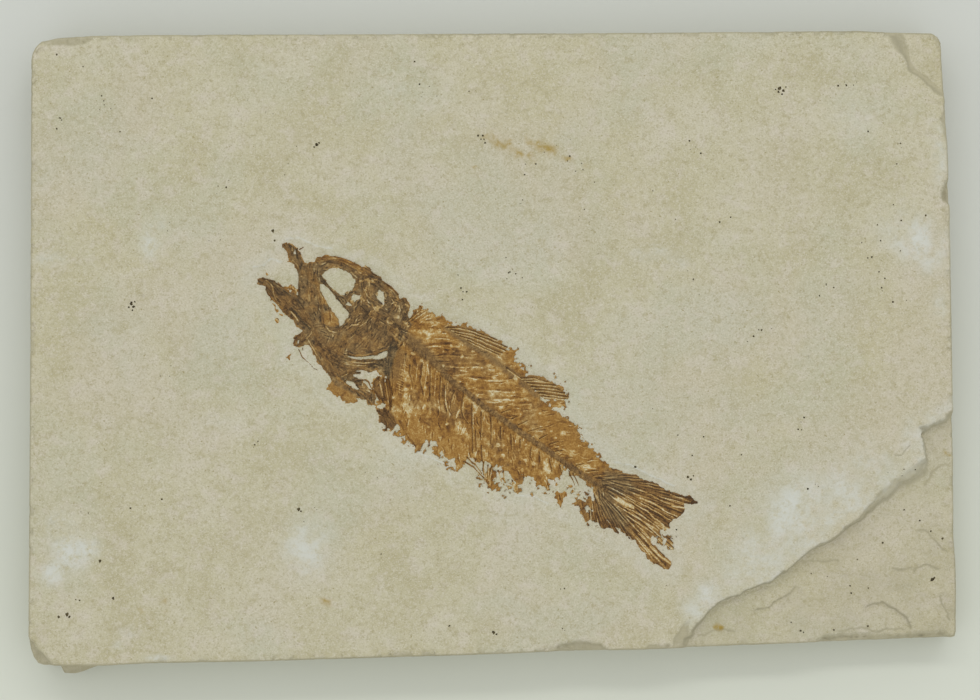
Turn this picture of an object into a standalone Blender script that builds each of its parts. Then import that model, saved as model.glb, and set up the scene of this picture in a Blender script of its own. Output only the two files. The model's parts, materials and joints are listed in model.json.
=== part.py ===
"""Fossil fish slab: a small fish pressed flat in a sawn plate of pale limestone.

The plate lies on its back with +Z up and its long side along X. Its origin is at the middle of
its underside. One lower corner has broken away along a bedding plane, which leaves a ledge. The
fish lies in a shallow recess that was scraped round it, with its bones standing a little proud.

The lists of points are in millimetres. MM turns them into metres where a mesh is made.
"""

import math

import bmesh
import bpy
from mathutils import Vector

MM = 0.001

# The plate
SLAB_THICKNESS = 10.0
FACE = SLAB_THICKNESS  # height of the face that shows the fish
WORN_EDGE = 0.4
STEP_DEPTH = 1.9  # how far the ledge of the broken corner lies below the face
CHIP_DEPTH = 1.1  # the same for the chipped upper corner
CUTTER_REACH = 3.0  # how far a cutter stands past the stone that it removes

# The plate's outline, anticlockwise from its lower left corner: four sawn edges, none quite square
SLAB_OUTLINE = [
    (-76.0, -52.3), (-57.6, -51.9), (-0.4, -50.2), (49.6, -48.4), (77.2, -47.5),
    (76.8, -16.5), (76.4, -8.2), (76.2, 8.5), (75.7, 25.2), (75.1, 41.8), (74.8, 51.7), (73.4, 52.8),
    (60.8, 53.2), (26.3, 53.0), (-43.4, 52.8), (-69.8, 52.5), (-75.1, 51.7),
    (-76.7, 48.5), (-76.8, 20.2), (-77.0, -19.0), (-77.2, -48.2),
]  # fmt: skip

# The crack along which the lower right corner came away, from the lower edge to the right edge,
# at the face and then at the ledge. The wall between them slopes where the two lines part.
CRACK_AT_FACE = [
    (32.0, -48.6), (34.4, -44.7), (36.2, -42.7), (39.0, -41.4), (44.2, -38.9), (47.7, -37.1),
    (50.6, -35.3), (55.2, -31.8), (58.9, -29.0), (61.0, -27.3), (63.3, -24.6), (67.3, -20.8),
    (70.5, -18.7), (72.3, -17.8), (71.9, -13.2), (74.1, -11.8), (76.1, -9.3),
]  # fmt: skip
CRACK_AT_LEDGE = [
    (32.9, -49.2), (35.3, -45.4), (36.9, -43.4), (39.4, -42.1), (44.6, -39.7), (48.2, -37.9),
    (51.1, -36.1), (55.8, -32.6), (59.5, -29.9), (61.7, -28.4), (64.0, -26.6), (69.0, -22.8),
    (72.8, -21.0), (73.6, -19.4), (72.6, -14.0), (74.6, -12.7), (77.0, -10.4),
]  # fmt: skip

# The chipped upper right corner, from the upper edge to the right edge
CHIP_AT_FACE = [(66.8, 53.2), (68.8, 49.8), (70.1, 46.8), (72.3, 43.8), (75.2, 41.4)]
CHIP_AT_FLOOR = [(68.6, 53.4), (70.2, 50.2), (71.4, 47.6), (73.2, 45.0), (75.8, 43.0)]

# Scallops knocked out of the upper edges: middle, half length along the edge, half width, depth
EDGE_CHIPS = [
    ((-72.4, 52.2), 5.4, 1.1, 0.8, 0.0),
    ((-77.0, -50.6), 3.0, 1.7, 2.4, 115.0),
    ((75.9, 27.2), 2.8, 1.1, 1.2, 92.0),
    ((15.8, -49.9), 4.0, 1.5, 0.9, 3.0),
    ((56.0, -48.6), 9.0, 1.0, 1.9, 2.0),
    ((-20.0, 53.2), 3.2, 0.7, 0.5, 0.0),
    ((44.0, 53.3), 4.6, 0.8, 0.6, 0.0),
]

# A lower layer of the stone that sticks out under the lower left corner
LIP_OUTLINE = [(-73.2, -51.0), (-72.2, -53.2), (-69.0, -53.2), (-64.6, -52.4), (-63.4, -51.0)]
LIP_LOW = 1.2
LIP_HIGH = 6.0

# The fish. Its own frame starts at the neck: x runs tailward along the body, y towards its back.
NECK = (-15.4, 2.3)
FISH_TILT = math.radians(-35.0)
RECESS_DEPTH = 0.5
CLEARANCE = 0.3  # between the recess's floor and the bones' undersides
BONE_LOW = CLEARANCE - RECESS_DEPTH
FILM_HIGH = 0.15  # the skin film and the webs of the fins
PLATE_HIGH = 0.35  # the flat bones of the head
RAY_HIGH = 0.35
RIB_HIGH = 0.38
BACKBONE_HIGH = 0.6
BAR_HIGH = 0.75  # the thick bars of skull, jaw and shoulder
BAR_LOW = BONE_LOW + 0.05  # a bar starts this low, so that it also stands where it leaves its plate

VERTEBRA_LENGTH = 0.95
VERTEBRA_WIDE = 1.3
VERTEBRA_NARROW = 0.9

RECESS_OUTLINE = [
    (-27.2, -3.0), (-26.0, -7.2), (-21.0, -8.9), (-15.6, -9.6), (-15.7, -10.8), (-13.6, -12.4),
    (-11.4, -11.4), (-6.8, -13.2), (-6.0, -15.0), (-1.2, -15.4), (3.0, -14.2), (6.6, -15.4),
    (11.0, -15.4), (14.6, -13.8), (17.0, -13.4), (20.8, -14.2), (22.4, -12.8), (27.2, -12.6),
    (30.6, -11.2), (32.8, -10.0), (35.2, -8.7), (38.6, -9.0), (40.2, -7.8), (43.4, -9.0),
    (47.6, -7.2), (52.0, -7.0), (57.0, -7.8), (60.0, -6.8), (59.8, -4.4), (56.0, -2.8),
    (56.6, 2.2), (57.8, 6.8), (54.2, 6.9), (46.0, 4.9), (41.4, 3.8), (36.4, 4.5), (33.2, 5.6),
    (29.8, 6.0), (29.6, 9.4), (25.0, 9.8), (22.0, 9.2), (18.6, 10.3), (12.2, 10.2), (7.0, 9.6),
    (4.8, 8.0), (0.6, 7.9), (-1.2, 6.9), (-7.4, 7.4), (-10.8, 7.8), (-14.4, 6.6), (-17.6, 5.5),
    (-20.0, 3.6), (-22.6, 3.8), (-26.2, 2.6),
]  # fmt: skip

SKULL_OUTLINE = [
    (-25.0, 1.6), (-25.0, 1.0), (-23.2, 0.8), (-22.3, -0.3), (-21.0, -0.5), (-20.1, -1.2),
    (-19.2, -2.5), (-18.3, -3.6), (-17.0, -4.1), (-14.4, -4.9), (-12.4, -5.6), (-10.4, -5.9),
    (-8.2, -5.9), (-7.7, -5.0), (-7.1, -3.0), (-6.7, -1.2), (-6.2, 0.9), (-4.0, 1.5), (-1.4, 1.4),
    (-0.9, 2.8), (-1.2, 4.0), (-2.0, 5.3), (-3.2, 5.8), (-4.2, 5.6), (-6.4, 6.0), (-8.0, 6.0),
    (-8.2, 6.5), (-10.2, 6.2), (-10.8, 6.6), (-12.5, 5.8), (-14.6, 5.5), (-16.4, 4.8),
    (-18.0, 3.9), (-18.9, 2.8), (-19.2, 1.6), (-20.3, 1.0), (-22.2, 2.5), (-24.0, 2.2),
]  # fmt: skip
EYE_SOCKET = [
    (-16.4, 1.0), (-14.6, 0.6), (-12.2, 0.2), (-11.5, 1.2), (-11.3, 2.3), (-11.8, 3.2),
    (-11.8, 3.9), (-14.6, 3.8), (-15.8, 2.7),
]  # fmt: skip
CHEEK_GAP = [
    (-12.8, -1.8), (-12.6, -3.1), (-11.4, -3.0), (-10.3, -3.2), (-9.4, -4.0), (-9.0, -3.4),
    (-9.2, -2.3), (-10.8, -1.7),
]  # fmt: skip
# Bars of bone that stand up from the skull: the path of each, then its width at both ends
SKULL_BARS = [
    ([(-18.4, 3.0), (-16.5, 4.4), (-14.0, 4.9), (-11.0, 5.6), (-8.6, 5.7), (-5.0, 5.3)], 0.9, 0.7),
    ([(-5.2, 5.2), (-3.2, 4.8), (-1.8, 3.8), (-1.3, 2.4)], 0.8, 0.5),
    ([(-24.4, 1.6), (-22.2, 0.5), (-20.4, 0.1), (-19.2, -1.4), (-18.0, -3.4)], 0.5, 0.7),
    ([(-22.0, 2.0), (-20.6, 0.8), (-19.4, 0.3)], 0.4, 0.5),
    ([(-17.6, 2.6), (-17.0, 0.4), (-16.0, -1.8), (-13.8, -4.4)], 0.9, 1.1),
    ([(-16.8, 0.5), (-14.6, 0.2), (-11.8, -0.8), (-8.8, -1.4)], 0.3, 0.4),
    ([(-7.4, 2.6), (-7.4, 0.2), (-7.9, -2.4), (-8.8, -5.2)], 0.6, 0.8),
    ([(-10.4, 4.2), (-9.4, 2.2), (-8.4, 0.4)], 1.0, 0.6),
]

JAW_OUTLINE = [
    (-25.0, -5.5), (-24.9, -6.2), (-23.6, -6.0), (-22.7, -6.6), (-20.2, -7.4), (-17.3, -8.1),
    (-15.6, -8.2), (-13.9, -8.6), (-14.7, -10.0), (-13.9, -11.2), (-12.8, -10.9), (-12.6, -9.4),
    (-12.7, -7.6), (-13.2, -6.2), (-14.4, -5.6), (-16.6, -4.9), (-18.4, -4.3), (-20.3, -4.0),
    (-23.0, -4.2), (-24.0, -4.8),
]  # fmt: skip
JAW_BARS = [
    ([(-24.4, -5.6), (-22.4, -5.0), (-19.6, -5.2), (-16.6, -6.0)], 0.7, 0.6),
    ([(-23.4, -5.8), (-20.4, -6.6), (-17.4, -7.5)], 0.4, 0.4),
    ([(-17.6, -6.3), (-15.6, -7.1), (-13.2, -7.6)], 0.5, 0.7),
    ([(-13.9, -9.4), (-13.6, -10.7)], 0.9, 0.7),
]

GILL_COVER_OUTLINE = [
    (-5.7, 0.5), (-6.2, -1.2), (-6.6, -3.0), (-7.2, -5.0), (-7.5, -6.8), (-6.9, -7.8),
    (-5.3, -7.2), (-3.7, -6.1), (-2.3, -4.9), (-1.3, -3.7), (-0.5, -2.8), (-0.4, -1.4),
    (-1.1, -0.5), (-0.9, 0.4), (-2.0, 0.9), (-4.0, 1.0),
]  # fmt: skip
GILL_COVER_BARS = [
    ([(-5.9, 0.0), (-6.3, -2.4), (-6.9, -4.8), (-7.0, -7.0)], 0.4, 0.5),
    ([(-4.6, 0.2), (-4.2, -2.4), (-4.6, -5.2)], 0.6, 0.9),
    ([(-2.8, 0.2), (-2.2, -1.8), (-2.6, -3.8)], 0.6, 0.6),
]

THROAT_OUTLINE = [
    (-12.2, -6.2), (-12.2, -9.2), (-11.0, -10.0), (-9.5, -11.1), (-8.2, -11.7), (-5.3, -12.4),
    (-5.0, -13.9), (-3.0, -13.8), (-1.2, -14.3), (0.0, -13.5), (0.3, -12.3), (2.4, -12.2),
    (3.0, -11.4), (1.2, -10.6), (-1.6, -10.6), (-3.4, -11.0), (-4.4, -9.9), (-6.2, -9.0),
    (-7.4, -8.2), (-8.0, -7.2), (-8.2, -6.3), (-10.4, -6.3),
]  # fmt: skip
# The gill rays that sweep up from the throat to the shoulder, and small bones that cross them
THROAT_BARS = [
    ([(-8.4, -7.9), (-6.4, -8.3), (-4.4, -7.8), (-2.4, -6.6), (-0.6, -5.3)], 0.5, 0.3),
    ([(-8.0, -8.8), (-6.2, -9.0), (-3.9, -8.4), (-2.0, -7.1)], 0.5, 0.3),
    ([(-7.6, -9.8), (-5.4, -9.6), (-3.4, -9.0), (-2.3, -8.0)], 0.5, 0.3),
    ([(-4.9, -11.4), (-3.6, -10.0), (-2.4, -8.6)], 0.4, 0.3),
    ([(-3.3, -11.8), (-2.9, -10.4), (-2.6, -9.0)], 0.4, 0.3),
    ([(-3.2, -10.2), (-1.6, -9.6), (-0.4, -9.1), (1.0, -10.1)], 0.4, 0.4),
    ([(-10.6, -8.2), (-8.6, -9.8), (-6.0, -11.4)], 0.7, 0.7),
]

SHOULDER_OUTLINE = [
    (0.0, -0.5), (-0.1, -3.4), (-0.1, -5.4), (0.2, -6.4), (1.1, -6.8), (0.7, -7.6), (0.7, -8.6),
    (1.3, -9.7), (3.0, -10.4), (3.6, -11.6), (3.7, -12.7), (5.0, -13.2), (6.7, -14.3), (7.4, -13.6),
    (7.6, -12.8), (6.2, -11.4), (5.6, -10.4), (4.4, -8.9), (2.9, -7.0), (1.9, -5.4), (1.2, -3.4),
    (0.8, -0.9),
]  # fmt: skip
SHOULDER_BARS = [
    ([(0.3, -0.7), (0.4, -3.0), (0.6, -5.0), (1.4, -6.6)], 0.5, 0.9),
    ([(1.4, -6.8), (3.2, -8.6), (5.2, -10.8)], 0.4, 0.4),
    ([(2.0, -6.6), (3.8, -8.4), (5.2, -10.2)], 0.35, 0.3),
    ([(1.1, -7.6), (1.2, -8.8), (2.4, -9.9)], 0.5, 0.4),
    ([(4.0, -12.0), (5.6, -12.6), (6.8, -13.6)], 0.9, 0.8),
]

TRUNK_OUTLINE = [
    (-0.5, 0.6), (1.1, -0.2), (1.6, -3.2), (2.4, -5.4), (3.4, -7.0), (4.8, -8.7), (6.0, -10.2),
    (6.7, -11.3), (8.2, -12.6), (8.2, -13.3), (10.0, -13.6), (10.8, -14.4), (13.4, -13.1),
    (13.8, -11.9), (15.2, -11.6), (16.2, -12.4), (17.6, -12.1), (19.4, -12.0), (20.8, -13.2),
    (21.0, -12.0), (20.4, -10.0), (21.6, -9.0), (23.2, -8.9), (25.6, -8.5), (26.8, -8.0),
    (28.6, -8.5), (30.6, -9.8), (31.4, -9.0), (30.8, -7.0), (33.4, -7.2), (34.2, -6.6),
    (34.4, -5.0), (35.6, -3.2), (37.0, -2.3), (41.6, -2.0), (41.9, 1.2), (41.1, 1.9), (39.4, 2.2),
    (38.2, 2.7), (36.4, 3.0), (35.2, 3.1), (34.4, 3.8), (32.0, 4.7), (29.2, 4.8), (27.0, 4.7),
    (24.0, 5.3), (20.4, 5.6), (16.0, 5.7), (10.0, 5.6), (5.8, 5.8), (5.2, 6.7), (1.6, 6.8),
    (0.0, 6.1), (-0.7, 5.0), (-0.4, 3.4),
]  # fmt: skip
BACKBONE_PATH = [
    (0.6, 0.7), (4.0, 0.5), (8.0, -0.1), (12.0, -0.9), (16.0, -1.4), (24.0, -1.4), (32.0, -1.4),
    (38.0, -1.4), (41.4, -1.1),
]
# Ribs hang from every second vertebra: where the first one starts, and the length of each
FIRST_RIB = 4.2
RIB_LENGTHS = [
    4.4, 5.2, 5.8, 4.6, 5.4, 6.4, 7.2, 8.2, 7.6, 7.8, 7.2, 5.0, 3.0, 2.6, 2.4, 2.6, 2.4, 2.2, 2.0,
]  # fmt: skip
RIB_LEAN = (-56.0, -40.0)  # degrees from the backbone, at the neck and at the tail
SPINE_LENGTHS = [
    5.4, 5.6, 5.8, 5.6, 5.0, 2.0, 2.2, 2.6, 2.4, 2.8, 2.6, 2.8, 2.4, 2.2, 2.0, 2.2, 2.4, 2.6, 2.4,
]  # fmt: skip
SPINE_LEAN = (30.0, 38.0)
RIB_WIDTH = 0.4
RIB_TIP = 0.22

FRONT_FIN_WEB = [
    (5.9, 6.2), (10.0, 6.0), (16.0, 6.1), (18.6, 6.4), (18.2, 8.4), (17.6, 9.3), (16.4, 9.1),
    (15.6, 8.0), (12.6, 8.2), (10.2, 8.4), (8.2, 8.5), (7.0, 7.6),
]  # fmt: skip
FRONT_FIN_RAYS = [
    [(6.2, 6.4), (7.4, 7.2), (10.4, 8.4), (13.6, 9.2)],
    [(6.9, 6.4), (8.4, 7.2), (11.0, 8.0), (15.6, 9.0)],
    [(8.2, 6.4), (9.6, 7.0), (12.0, 7.7), (15.6, 8.3)],
    [(9.8, 6.4), (11.2, 6.9), (13.0, 7.3), (15.2, 7.6)],
]
REAR_FIN_WEB = [
    (20.4, 6.0), (24.0, 5.7), (27.2, 5.2), (28.6, 5.8), (28.4, 6.9), (26.4, 7.6), (23.4, 7.7),
]  # fmt: skip
REAR_FIN_FIRST = (21.0, 6.2)  # foot of the first ray
REAR_FIN_STEP = (0.95, -0.05)
REAR_FIN_REACH = [(2.6, 1.7), (4.4, 2.4), (4.8, 2.4), (4.8, 2.5), (4.0, 2.2), (3.1, 1.9)]

BELLY_FIN_WEB = [
    (20.9, -10.7), (21.0, -9.6), (23.2, -9.3), (25.4, -8.9), (27.8, -9.3), (26.8, -10.4),
    (26.6, -11.4), (25.8, -11.5), (23.4, -11.1),
]  # fmt: skip
BELLY_FIN_RAYS = [
    [(21.4, -10.1), (23.4, -10.3), (25.8, -11.1)],
    [(21.0, -10.8), (22.8, -10.8), (26.2, -11.4)],
    [(23.2, -9.4), (24.2, -10.2), (25.4, -11.2)],
    [(24.8, -9.2), (25.6, -10.2), (26.4, -11.2)],
    [(25.8, -9.1), (26.8, -9.6), (27.8, -10.1)],
]

TAIL_WEB = [
    (42.2, 1.4), (42.3, -2.2), (41.0, -2.5), (41.2, -3.2), (42.6, -4.1), (44.2, -4.9), (46.0, -5.3),
    (50.6, -5.5), (52.8, -5.7), (55.4, -6.1), (57.2, -6.4), (58.4, -5.6), (55.6, -4.5),
    (53.2, -3.2), (53.4, -1.6), (54.2, -0.6), (54.2, 1.0), (54.8, 2.4), (55.2, 3.4), (54.6, 4.4),
    (56.4, 6.0), (54.6, 5.6), (50.0, 4.5), (46.0, 3.6), (43.0, 2.8), (41.8, 2.4),
]  # fmt: skip
# The tail's rays spread from a short arc at the root to the fork's edge, listed from its top
TAIL_ROOT_X = 43.4
TAIL_ROOT_TOP = 2.3
TAIL_ROOT_BOTTOM = -4.1
TAIL_RAY_ENDS = [
    (56.2, 5.9), (55.3, 5.0), (54.8, 4.2), (55.4, 3.3), (55.1, 2.5), (54.6, 1.6), (54.6, 0.9),
    (54.4, 0.0), (54.2, -0.8), (53.6, -1.7), (53.4, -2.5), (54.0, -3.4), (56.0, -4.4), (57.6, -4.9),
    (58.2, -5.7), (57.4, -6.2),
]  # fmt: skip
TAIL_RAY_WIDTH = 0.36


def clear_scene():
    for obj in list(bpy.data.objects):
        bpy.data.objects.remove(obj)


def material(name, colour, roughness):
    made = bpy.data.materials.new(name)
    made.use_nodes = True
    shader = made.node_tree.nodes["Principled BSDF"]
    shader.inputs["Base Color"].default_value = (*colour, 1.0)
    shader.inputs["Roughness"].default_value = roughness
    made.diffuse_color = (*colour, 1.0)
    return made


def object_from(name, shape, parent=None):
    """Turns a bmesh in millimetres into an object in metres."""
    bmesh.ops.recalc_face_normals(shape, faces=shape.faces)
    bmesh.ops.scale(shape, vec=(MM, MM, MM), verts=shape.verts)
    mesh = bpy.data.meshes.new(name)
    shape.to_mesh(mesh)
    shape.free()
    obj = bpy.data.objects.new(name, mesh)
    bpy.context.scene.collection.objects.link(obj)
    obj.parent = parent
    return obj


def add_prism(shape, outline, low, high, outline_high=None):
    """A closed block between two heights. With a second outline its walls slope."""
    lower = [shape.verts.new((x, y, low)) for x, y in outline]
    upper = [shape.verts.new((x, y, high)) for x, y in outline_high or outline]
    shape.faces.new(lower[::-1])
    shape.faces.new(upper)
    for i, start in enumerate(lower):
        end = (i + 1) % len(lower)
        shape.faces.new((start, lower[end], upper[end], upper[i]))


def add_bar(shape, path, widths, low, high):
    """A closed bar that follows a path, with sloping sides. widths holds one number per point."""
    points = [Vector(p) for p in path]
    rings = []
    for i, point in enumerate(points):
        along = points[min(i + 1, len(points) - 1)] - points[max(i - 1, 0)]
        across = Vector((-along.y, along.x)).normalized() * widths[i] / 2
        section = ((across, low), (across * 0.5, high), (across * -0.5, high), (-across, low))
        rings.append([shape.verts.new((*(point + side), z)) for side, z in section])
    for ring, following in zip(rings, rings[1:]):
        for k in range(4):
            shape.faces.new((ring[k], ring[k - 1], following[k - 1], following[k]))
    shape.faces.new(rings[0])
    shape.faces.new(rings[-1][::-1])


def tapered(start, end, count):
    return [start + (end - start) * i / (count - 1) for i in range(count)]


def helper(obj):
    """Marks an object as a cutter or a filler, which isn't a part of the slab."""
    obj.hide_render = True
    obj.display_type = "WIRE"


def boolean(obj, other, operation):
    helper(other)
    step = obj.modifiers.new(other.name, "BOOLEAN")
    step.operation = operation
    step.object = other
    step.solver = "EXACT"
    step.use_self = operation == "UNION"


def slab(stone, fish_frame):
    """The limestone plate with its ledge, chips, lip and the recess that holds the fish."""
    shape = bmesh.new()
    add_prism(shape, SLAB_OUTLINE, 0.0, FACE)
    obj = object_from("slab", shape)
    obj.data.materials.append(stone)
    worn = obj.modifiers.new("worn_edges", "BEVEL")
    worn.width = WORN_EDGE * MM
    worn.segments = 1
    worn.limit_method = "ANGLE"
    worn.angle_limit = math.radians(60)

    breaks = (
        ("broken_corner", CRACK_AT_LEDGE, CRACK_AT_FACE, STEP_DEPTH, (1, -1)),
        ("chipped_corner", CHIP_AT_FLOOR, CHIP_AT_FACE, CHIP_DEPTH, (1, 1)),
    )
    for name, floor_line, face_line, depth, (side_x, side_y) in breaks:
        shape = bmesh.new()
        add_break(shape, floor_line, face_line, depth, side_x, side_y)
        boolean(obj, object_from(name, shape), "DIFFERENCE")

    shape = bmesh.new()
    for middle, half_length, half_width, depth, turn in EDGE_CHIPS:
        add_scallop(shape, middle, half_length, half_width, depth, math.radians(turn))
    boolean(obj, object_from("edge_chips", shape), "DIFFERENCE")

    shape = bmesh.new()
    add_prism(shape, RECESS_OUTLINE, -RECESS_DEPTH, CUTTER_REACH)
    boolean(obj, object_from("recess", shape, fish_frame), "DIFFERENCE")

    shape = bmesh.new()
    add_prism(shape, LIP_OUTLINE, LIP_LOW, LIP_HIGH)
    boolean(obj, object_from("lip", shape), "UNION")


def add_break(shape, floor_line, face_line, depth, side_x, side_y):
    """The block of stone that broke away: a sloping wall along a crack, and a level floor."""
    far_x = side_x * (max(abs(x) for x, _ in SLAB_OUTLINE) + CUTTER_REACH)
    far_y = side_y * (max(abs(y) for _, y in SLAB_OUTLINE) + CUTTER_REACH)
    rise = (depth + CUTTER_REACH) / depth
    raised_line = [
        (low[0] + (high[0] - low[0]) * rise, low[1] + (high[1] - low[1]) * rise)
        for low, high in zip(floor_line, face_line)
    ]
    corners = [(far_x, floor_line[-1][1]), (far_x, far_y), (floor_line[0][0], far_y)]
    raised_corners = [(far_x, raised_line[-1][1]), (far_x, far_y), (raised_line[0][0], far_y)]
    add_prism(
        shape,
        floor_line + corners,
        FACE - depth,
        FACE + CUTTER_REACH,
        raised_line + raised_corners,
    )


def add_scallop(shape, middle, half_length, half_width, depth, turn):
    made = bmesh.ops.create_icosphere(shape, subdivisions=2, radius=1.0)["verts"]
    for vert in made:
        x, y, z = vert.co
        x, y = x * half_length, y * half_width
        vert.co = (
            middle[0] + x * math.cos(turn) - y * math.sin(turn),
            middle[1] + x * math.sin(turn) + y * math.cos(turn),
            FACE + z * depth,
        )


def bone(name, outline, high, bars, look, fish_frame, gaps=()):
    """A flat piece of the fish with bars of bone, ribs or rays that are grown to it."""
    shape = bmesh.new()
    add_prism(shape, outline, BONE_LOW, high)
    obj = object_from(name, shape, fish_frame)
    obj.data.materials.append(look)
    for gap_name, gap in gaps:
        shape = bmesh.new()
        add_prism(shape, gap, BONE_LOW - CUTTER_REACH, high + CUTTER_REACH)
        boolean(obj, object_from(gap_name, shape, fish_frame), "DIFFERENCE")
    shape = bmesh.new()
    for path, widths, bar_high in bars:
        add_bar(shape, path, widths, BAR_LOW, bar_high)
    boolean(obj, object_from(name + "_bars", shape, fish_frame), "UNION")


def thick_bars(listed):
    """Bars of the head and shoulder. Each is a little lower than the one before."""
    return [
        (path, tapered(start, end, len(path)), BAR_HIGH - 0.02 * i)
        for i, (path, start, end) in enumerate(listed)
    ]


def thin_rays(paths, width):
    return [
        (path, tapered(width, width * 0.6, len(path)), RAY_HIGH - 0.01 * (i % 3))
        for i, path in enumerate(paths)
    ]


def along_backbone(distance):
    """The point of the backbone at this distance tailward of the neck."""
    for start, end in zip(BACKBONE_PATH, BACKBONE_PATH[1:]):
        if distance <= end[0]:
            share = (distance - start[0]) / (end[0] - start[0])
            return Vector(start).lerp(Vector(end), share)
    return Vector(BACKBONE_PATH[-1])


def trunk_bars():
    """The backbone's vertebrae, the ribs under it and the spines over it."""
    first, last = BACKBONE_PATH[0][0], BACKBONE_PATH[-1][0]
    count = round((last - first) / VERTEBRA_LENGTH) * 2 + 1
    places = [first + (last - first) * i / (count - 1) for i in range(count)]
    widths = [VERTEBRA_NARROW if i % 2 else VERTEBRA_WIDE for i in range(count)]
    bars = [([along_backbone(x) for x in places], widths, BACKBONE_HIGH)]
    for lengths, lean, rise in (
        (RIB_LENGTHS, RIB_LEAN, RIB_HIGH),
        (SPINE_LENGTHS, SPINE_LEAN, RIB_HIGH - 0.03),
    ):
        for i, length in enumerate(lengths):
            root = along_backbone(FIRST_RIB + i * 2 * VERTEBRA_LENGTH)
            share = i / (len(lengths) - 1)
            angle = math.radians(lean[0] + (lean[1] - lean[0]) * share)
            bars.append((curved(root, angle, length), tapered(RIB_WIDTH, RIB_TIP, 4), rise))
    return bars


def curved(root, angle, length):
    """Four points of a bone that leaves the backbone steeply and lies back towards its tip."""
    bend = angle * 0.25
    path = [root]
    for i in range(3):
        heading = angle + bend * (1 - i)
        step = Vector((math.cos(heading), math.sin(heading))) * length / 3
        path.append(path[-1] + step)
    return path


def rear_fin_rays():
    paths = []
    for i, reach in enumerate(REAR_FIN_REACH):
        foot = Vector(REAR_FIN_FIRST) + Vector(REAR_FIN_STEP) * i
        tip = foot + Vector(reach)
        middle = foot.lerp(tip, 0.5) + Vector((0.0, 0.1))
        paths.append([foot, middle, tip])
    return paths


def tail_rays():
    """Rays that leave the root nearly level and open out towards the two lobes."""
    last = len(TAIL_RAY_ENDS) - 1
    paths = []
    for i, end in enumerate(TAIL_RAY_ENDS):
        share = i / last
        root_y = TAIL_ROOT_TOP + (TAIL_ROOT_BOTTOM - TAIL_ROOT_TOP) * share
        root = Vector((TAIL_ROOT_X + 1.2 * math.sin(math.pi * share), root_y))
        tip = Vector(end)
        bow = Vector((0.0, 0.25 * (0.5 - share)))
        paths.append([root, root.lerp(tip, 0.33) + bow, root.lerp(tip, 0.67) + bow, tip])
    return paths


def main():
    clear_scene()
    stone = material("limestone", (0.56, 0.51, 0.38), 0.85)
    dark = material("bone", (0.14, 0.08, 0.035), 0.55)
    film = material("skin_film", (0.36, 0.19, 0.06), 0.6)
    fins = material("fin_rays", (0.22, 0.12, 0.045), 0.6)

    fish_frame = bpy.data.objects.new("fish_frame", None)
    bpy.context.scene.collection.objects.link(fish_frame)
    fish_frame.location = (NECK[0] * MM, NECK[1] * MM, FACE * MM)
    fish_frame.rotation_euler.z = FISH_TILT

    slab(stone, fish_frame)
    openings = (("eye_socket", EYE_SOCKET), ("cheek_gap", CHEEK_GAP))
    bone("skull", SKULL_OUTLINE, PLATE_HIGH, thick_bars(SKULL_BARS), dark, fish_frame, openings)
    bone("lower_jaw", JAW_OUTLINE, PLATE_HIGH, thick_bars(JAW_BARS), dark, fish_frame)
    bone("gill_cover", GILL_COVER_OUTLINE, PLATE_HIGH, thick_bars(GILL_COVER_BARS), dark, fish_frame)
    bone("throat", THROAT_OUTLINE, FILM_HIGH, thick_bars(THROAT_BARS), dark, fish_frame)
    bone("shoulder", SHOULDER_OUTLINE, FILM_HIGH, thick_bars(SHOULDER_BARS), dark, fish_frame)
    bone("trunk", TRUNK_OUTLINE, FILM_HIGH, trunk_bars(), film, fish_frame)
    for name, web, paths in (
        ("front_back_fin", FRONT_FIN_WEB, FRONT_FIN_RAYS),
        ("rear_back_fin", REAR_FIN_WEB, rear_fin_rays()),
        ("belly_fin", BELLY_FIN_WEB, BELLY_FIN_RAYS),
    ):
        bone(name, web, FILM_HIGH, thin_rays(paths, RIB_WIDTH), fins, fish_frame)
    bone("tail_fin", TAIL_WEB, FILM_HIGH, thin_rays(tail_rays(), TAIL_RAY_WIDTH), fins, fish_frame)


main()
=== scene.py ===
"""The looks of the fossil fish slab: rough limestone, and a fish of dark bones and rusty film.

Lengths are in millimetres until a mesh is made. The slab's own frame has its origin under the
middle of the plate. The fish's frame starts at its neck: u runs tailward, v towards its back.
Stone and fish are both drawn on grids of points, from named outlines and paths.
"""

import json
import math

import bmesh
import bpy
import numpy as np
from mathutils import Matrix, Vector
from mathutils.bvhtree import BVHTree

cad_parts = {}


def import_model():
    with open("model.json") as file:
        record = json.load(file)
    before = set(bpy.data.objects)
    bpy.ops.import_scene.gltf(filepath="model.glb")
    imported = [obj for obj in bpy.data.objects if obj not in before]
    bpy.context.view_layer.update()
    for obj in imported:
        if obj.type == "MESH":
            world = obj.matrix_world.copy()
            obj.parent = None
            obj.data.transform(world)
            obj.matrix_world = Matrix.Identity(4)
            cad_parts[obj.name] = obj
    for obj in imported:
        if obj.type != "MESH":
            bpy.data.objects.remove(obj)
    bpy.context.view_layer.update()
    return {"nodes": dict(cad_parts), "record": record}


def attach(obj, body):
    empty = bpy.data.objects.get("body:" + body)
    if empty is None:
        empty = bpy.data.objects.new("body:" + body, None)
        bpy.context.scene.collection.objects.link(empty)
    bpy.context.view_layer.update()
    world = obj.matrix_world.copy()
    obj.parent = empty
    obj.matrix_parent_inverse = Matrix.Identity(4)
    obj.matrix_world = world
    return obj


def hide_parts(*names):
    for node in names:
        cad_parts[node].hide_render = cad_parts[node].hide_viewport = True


MM = 0.001
FACE = 10.0  # height of the stone's face

# The stone
STONE_STEP = 0.21
STONE_TRIANGLES = 185000
WALL_ROWS = 26
WALL_FOOT = 0.25  # how far the walls' feet are drawn in
WANDER = 0.36  # how far the broken edges wander from their outlines
PIT_DEPTH = 0.05
WORN_DEPTH = 0.42
WORN_WIDTH = 0.38
CRUMBLED_DEPTH = 0.3

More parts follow.
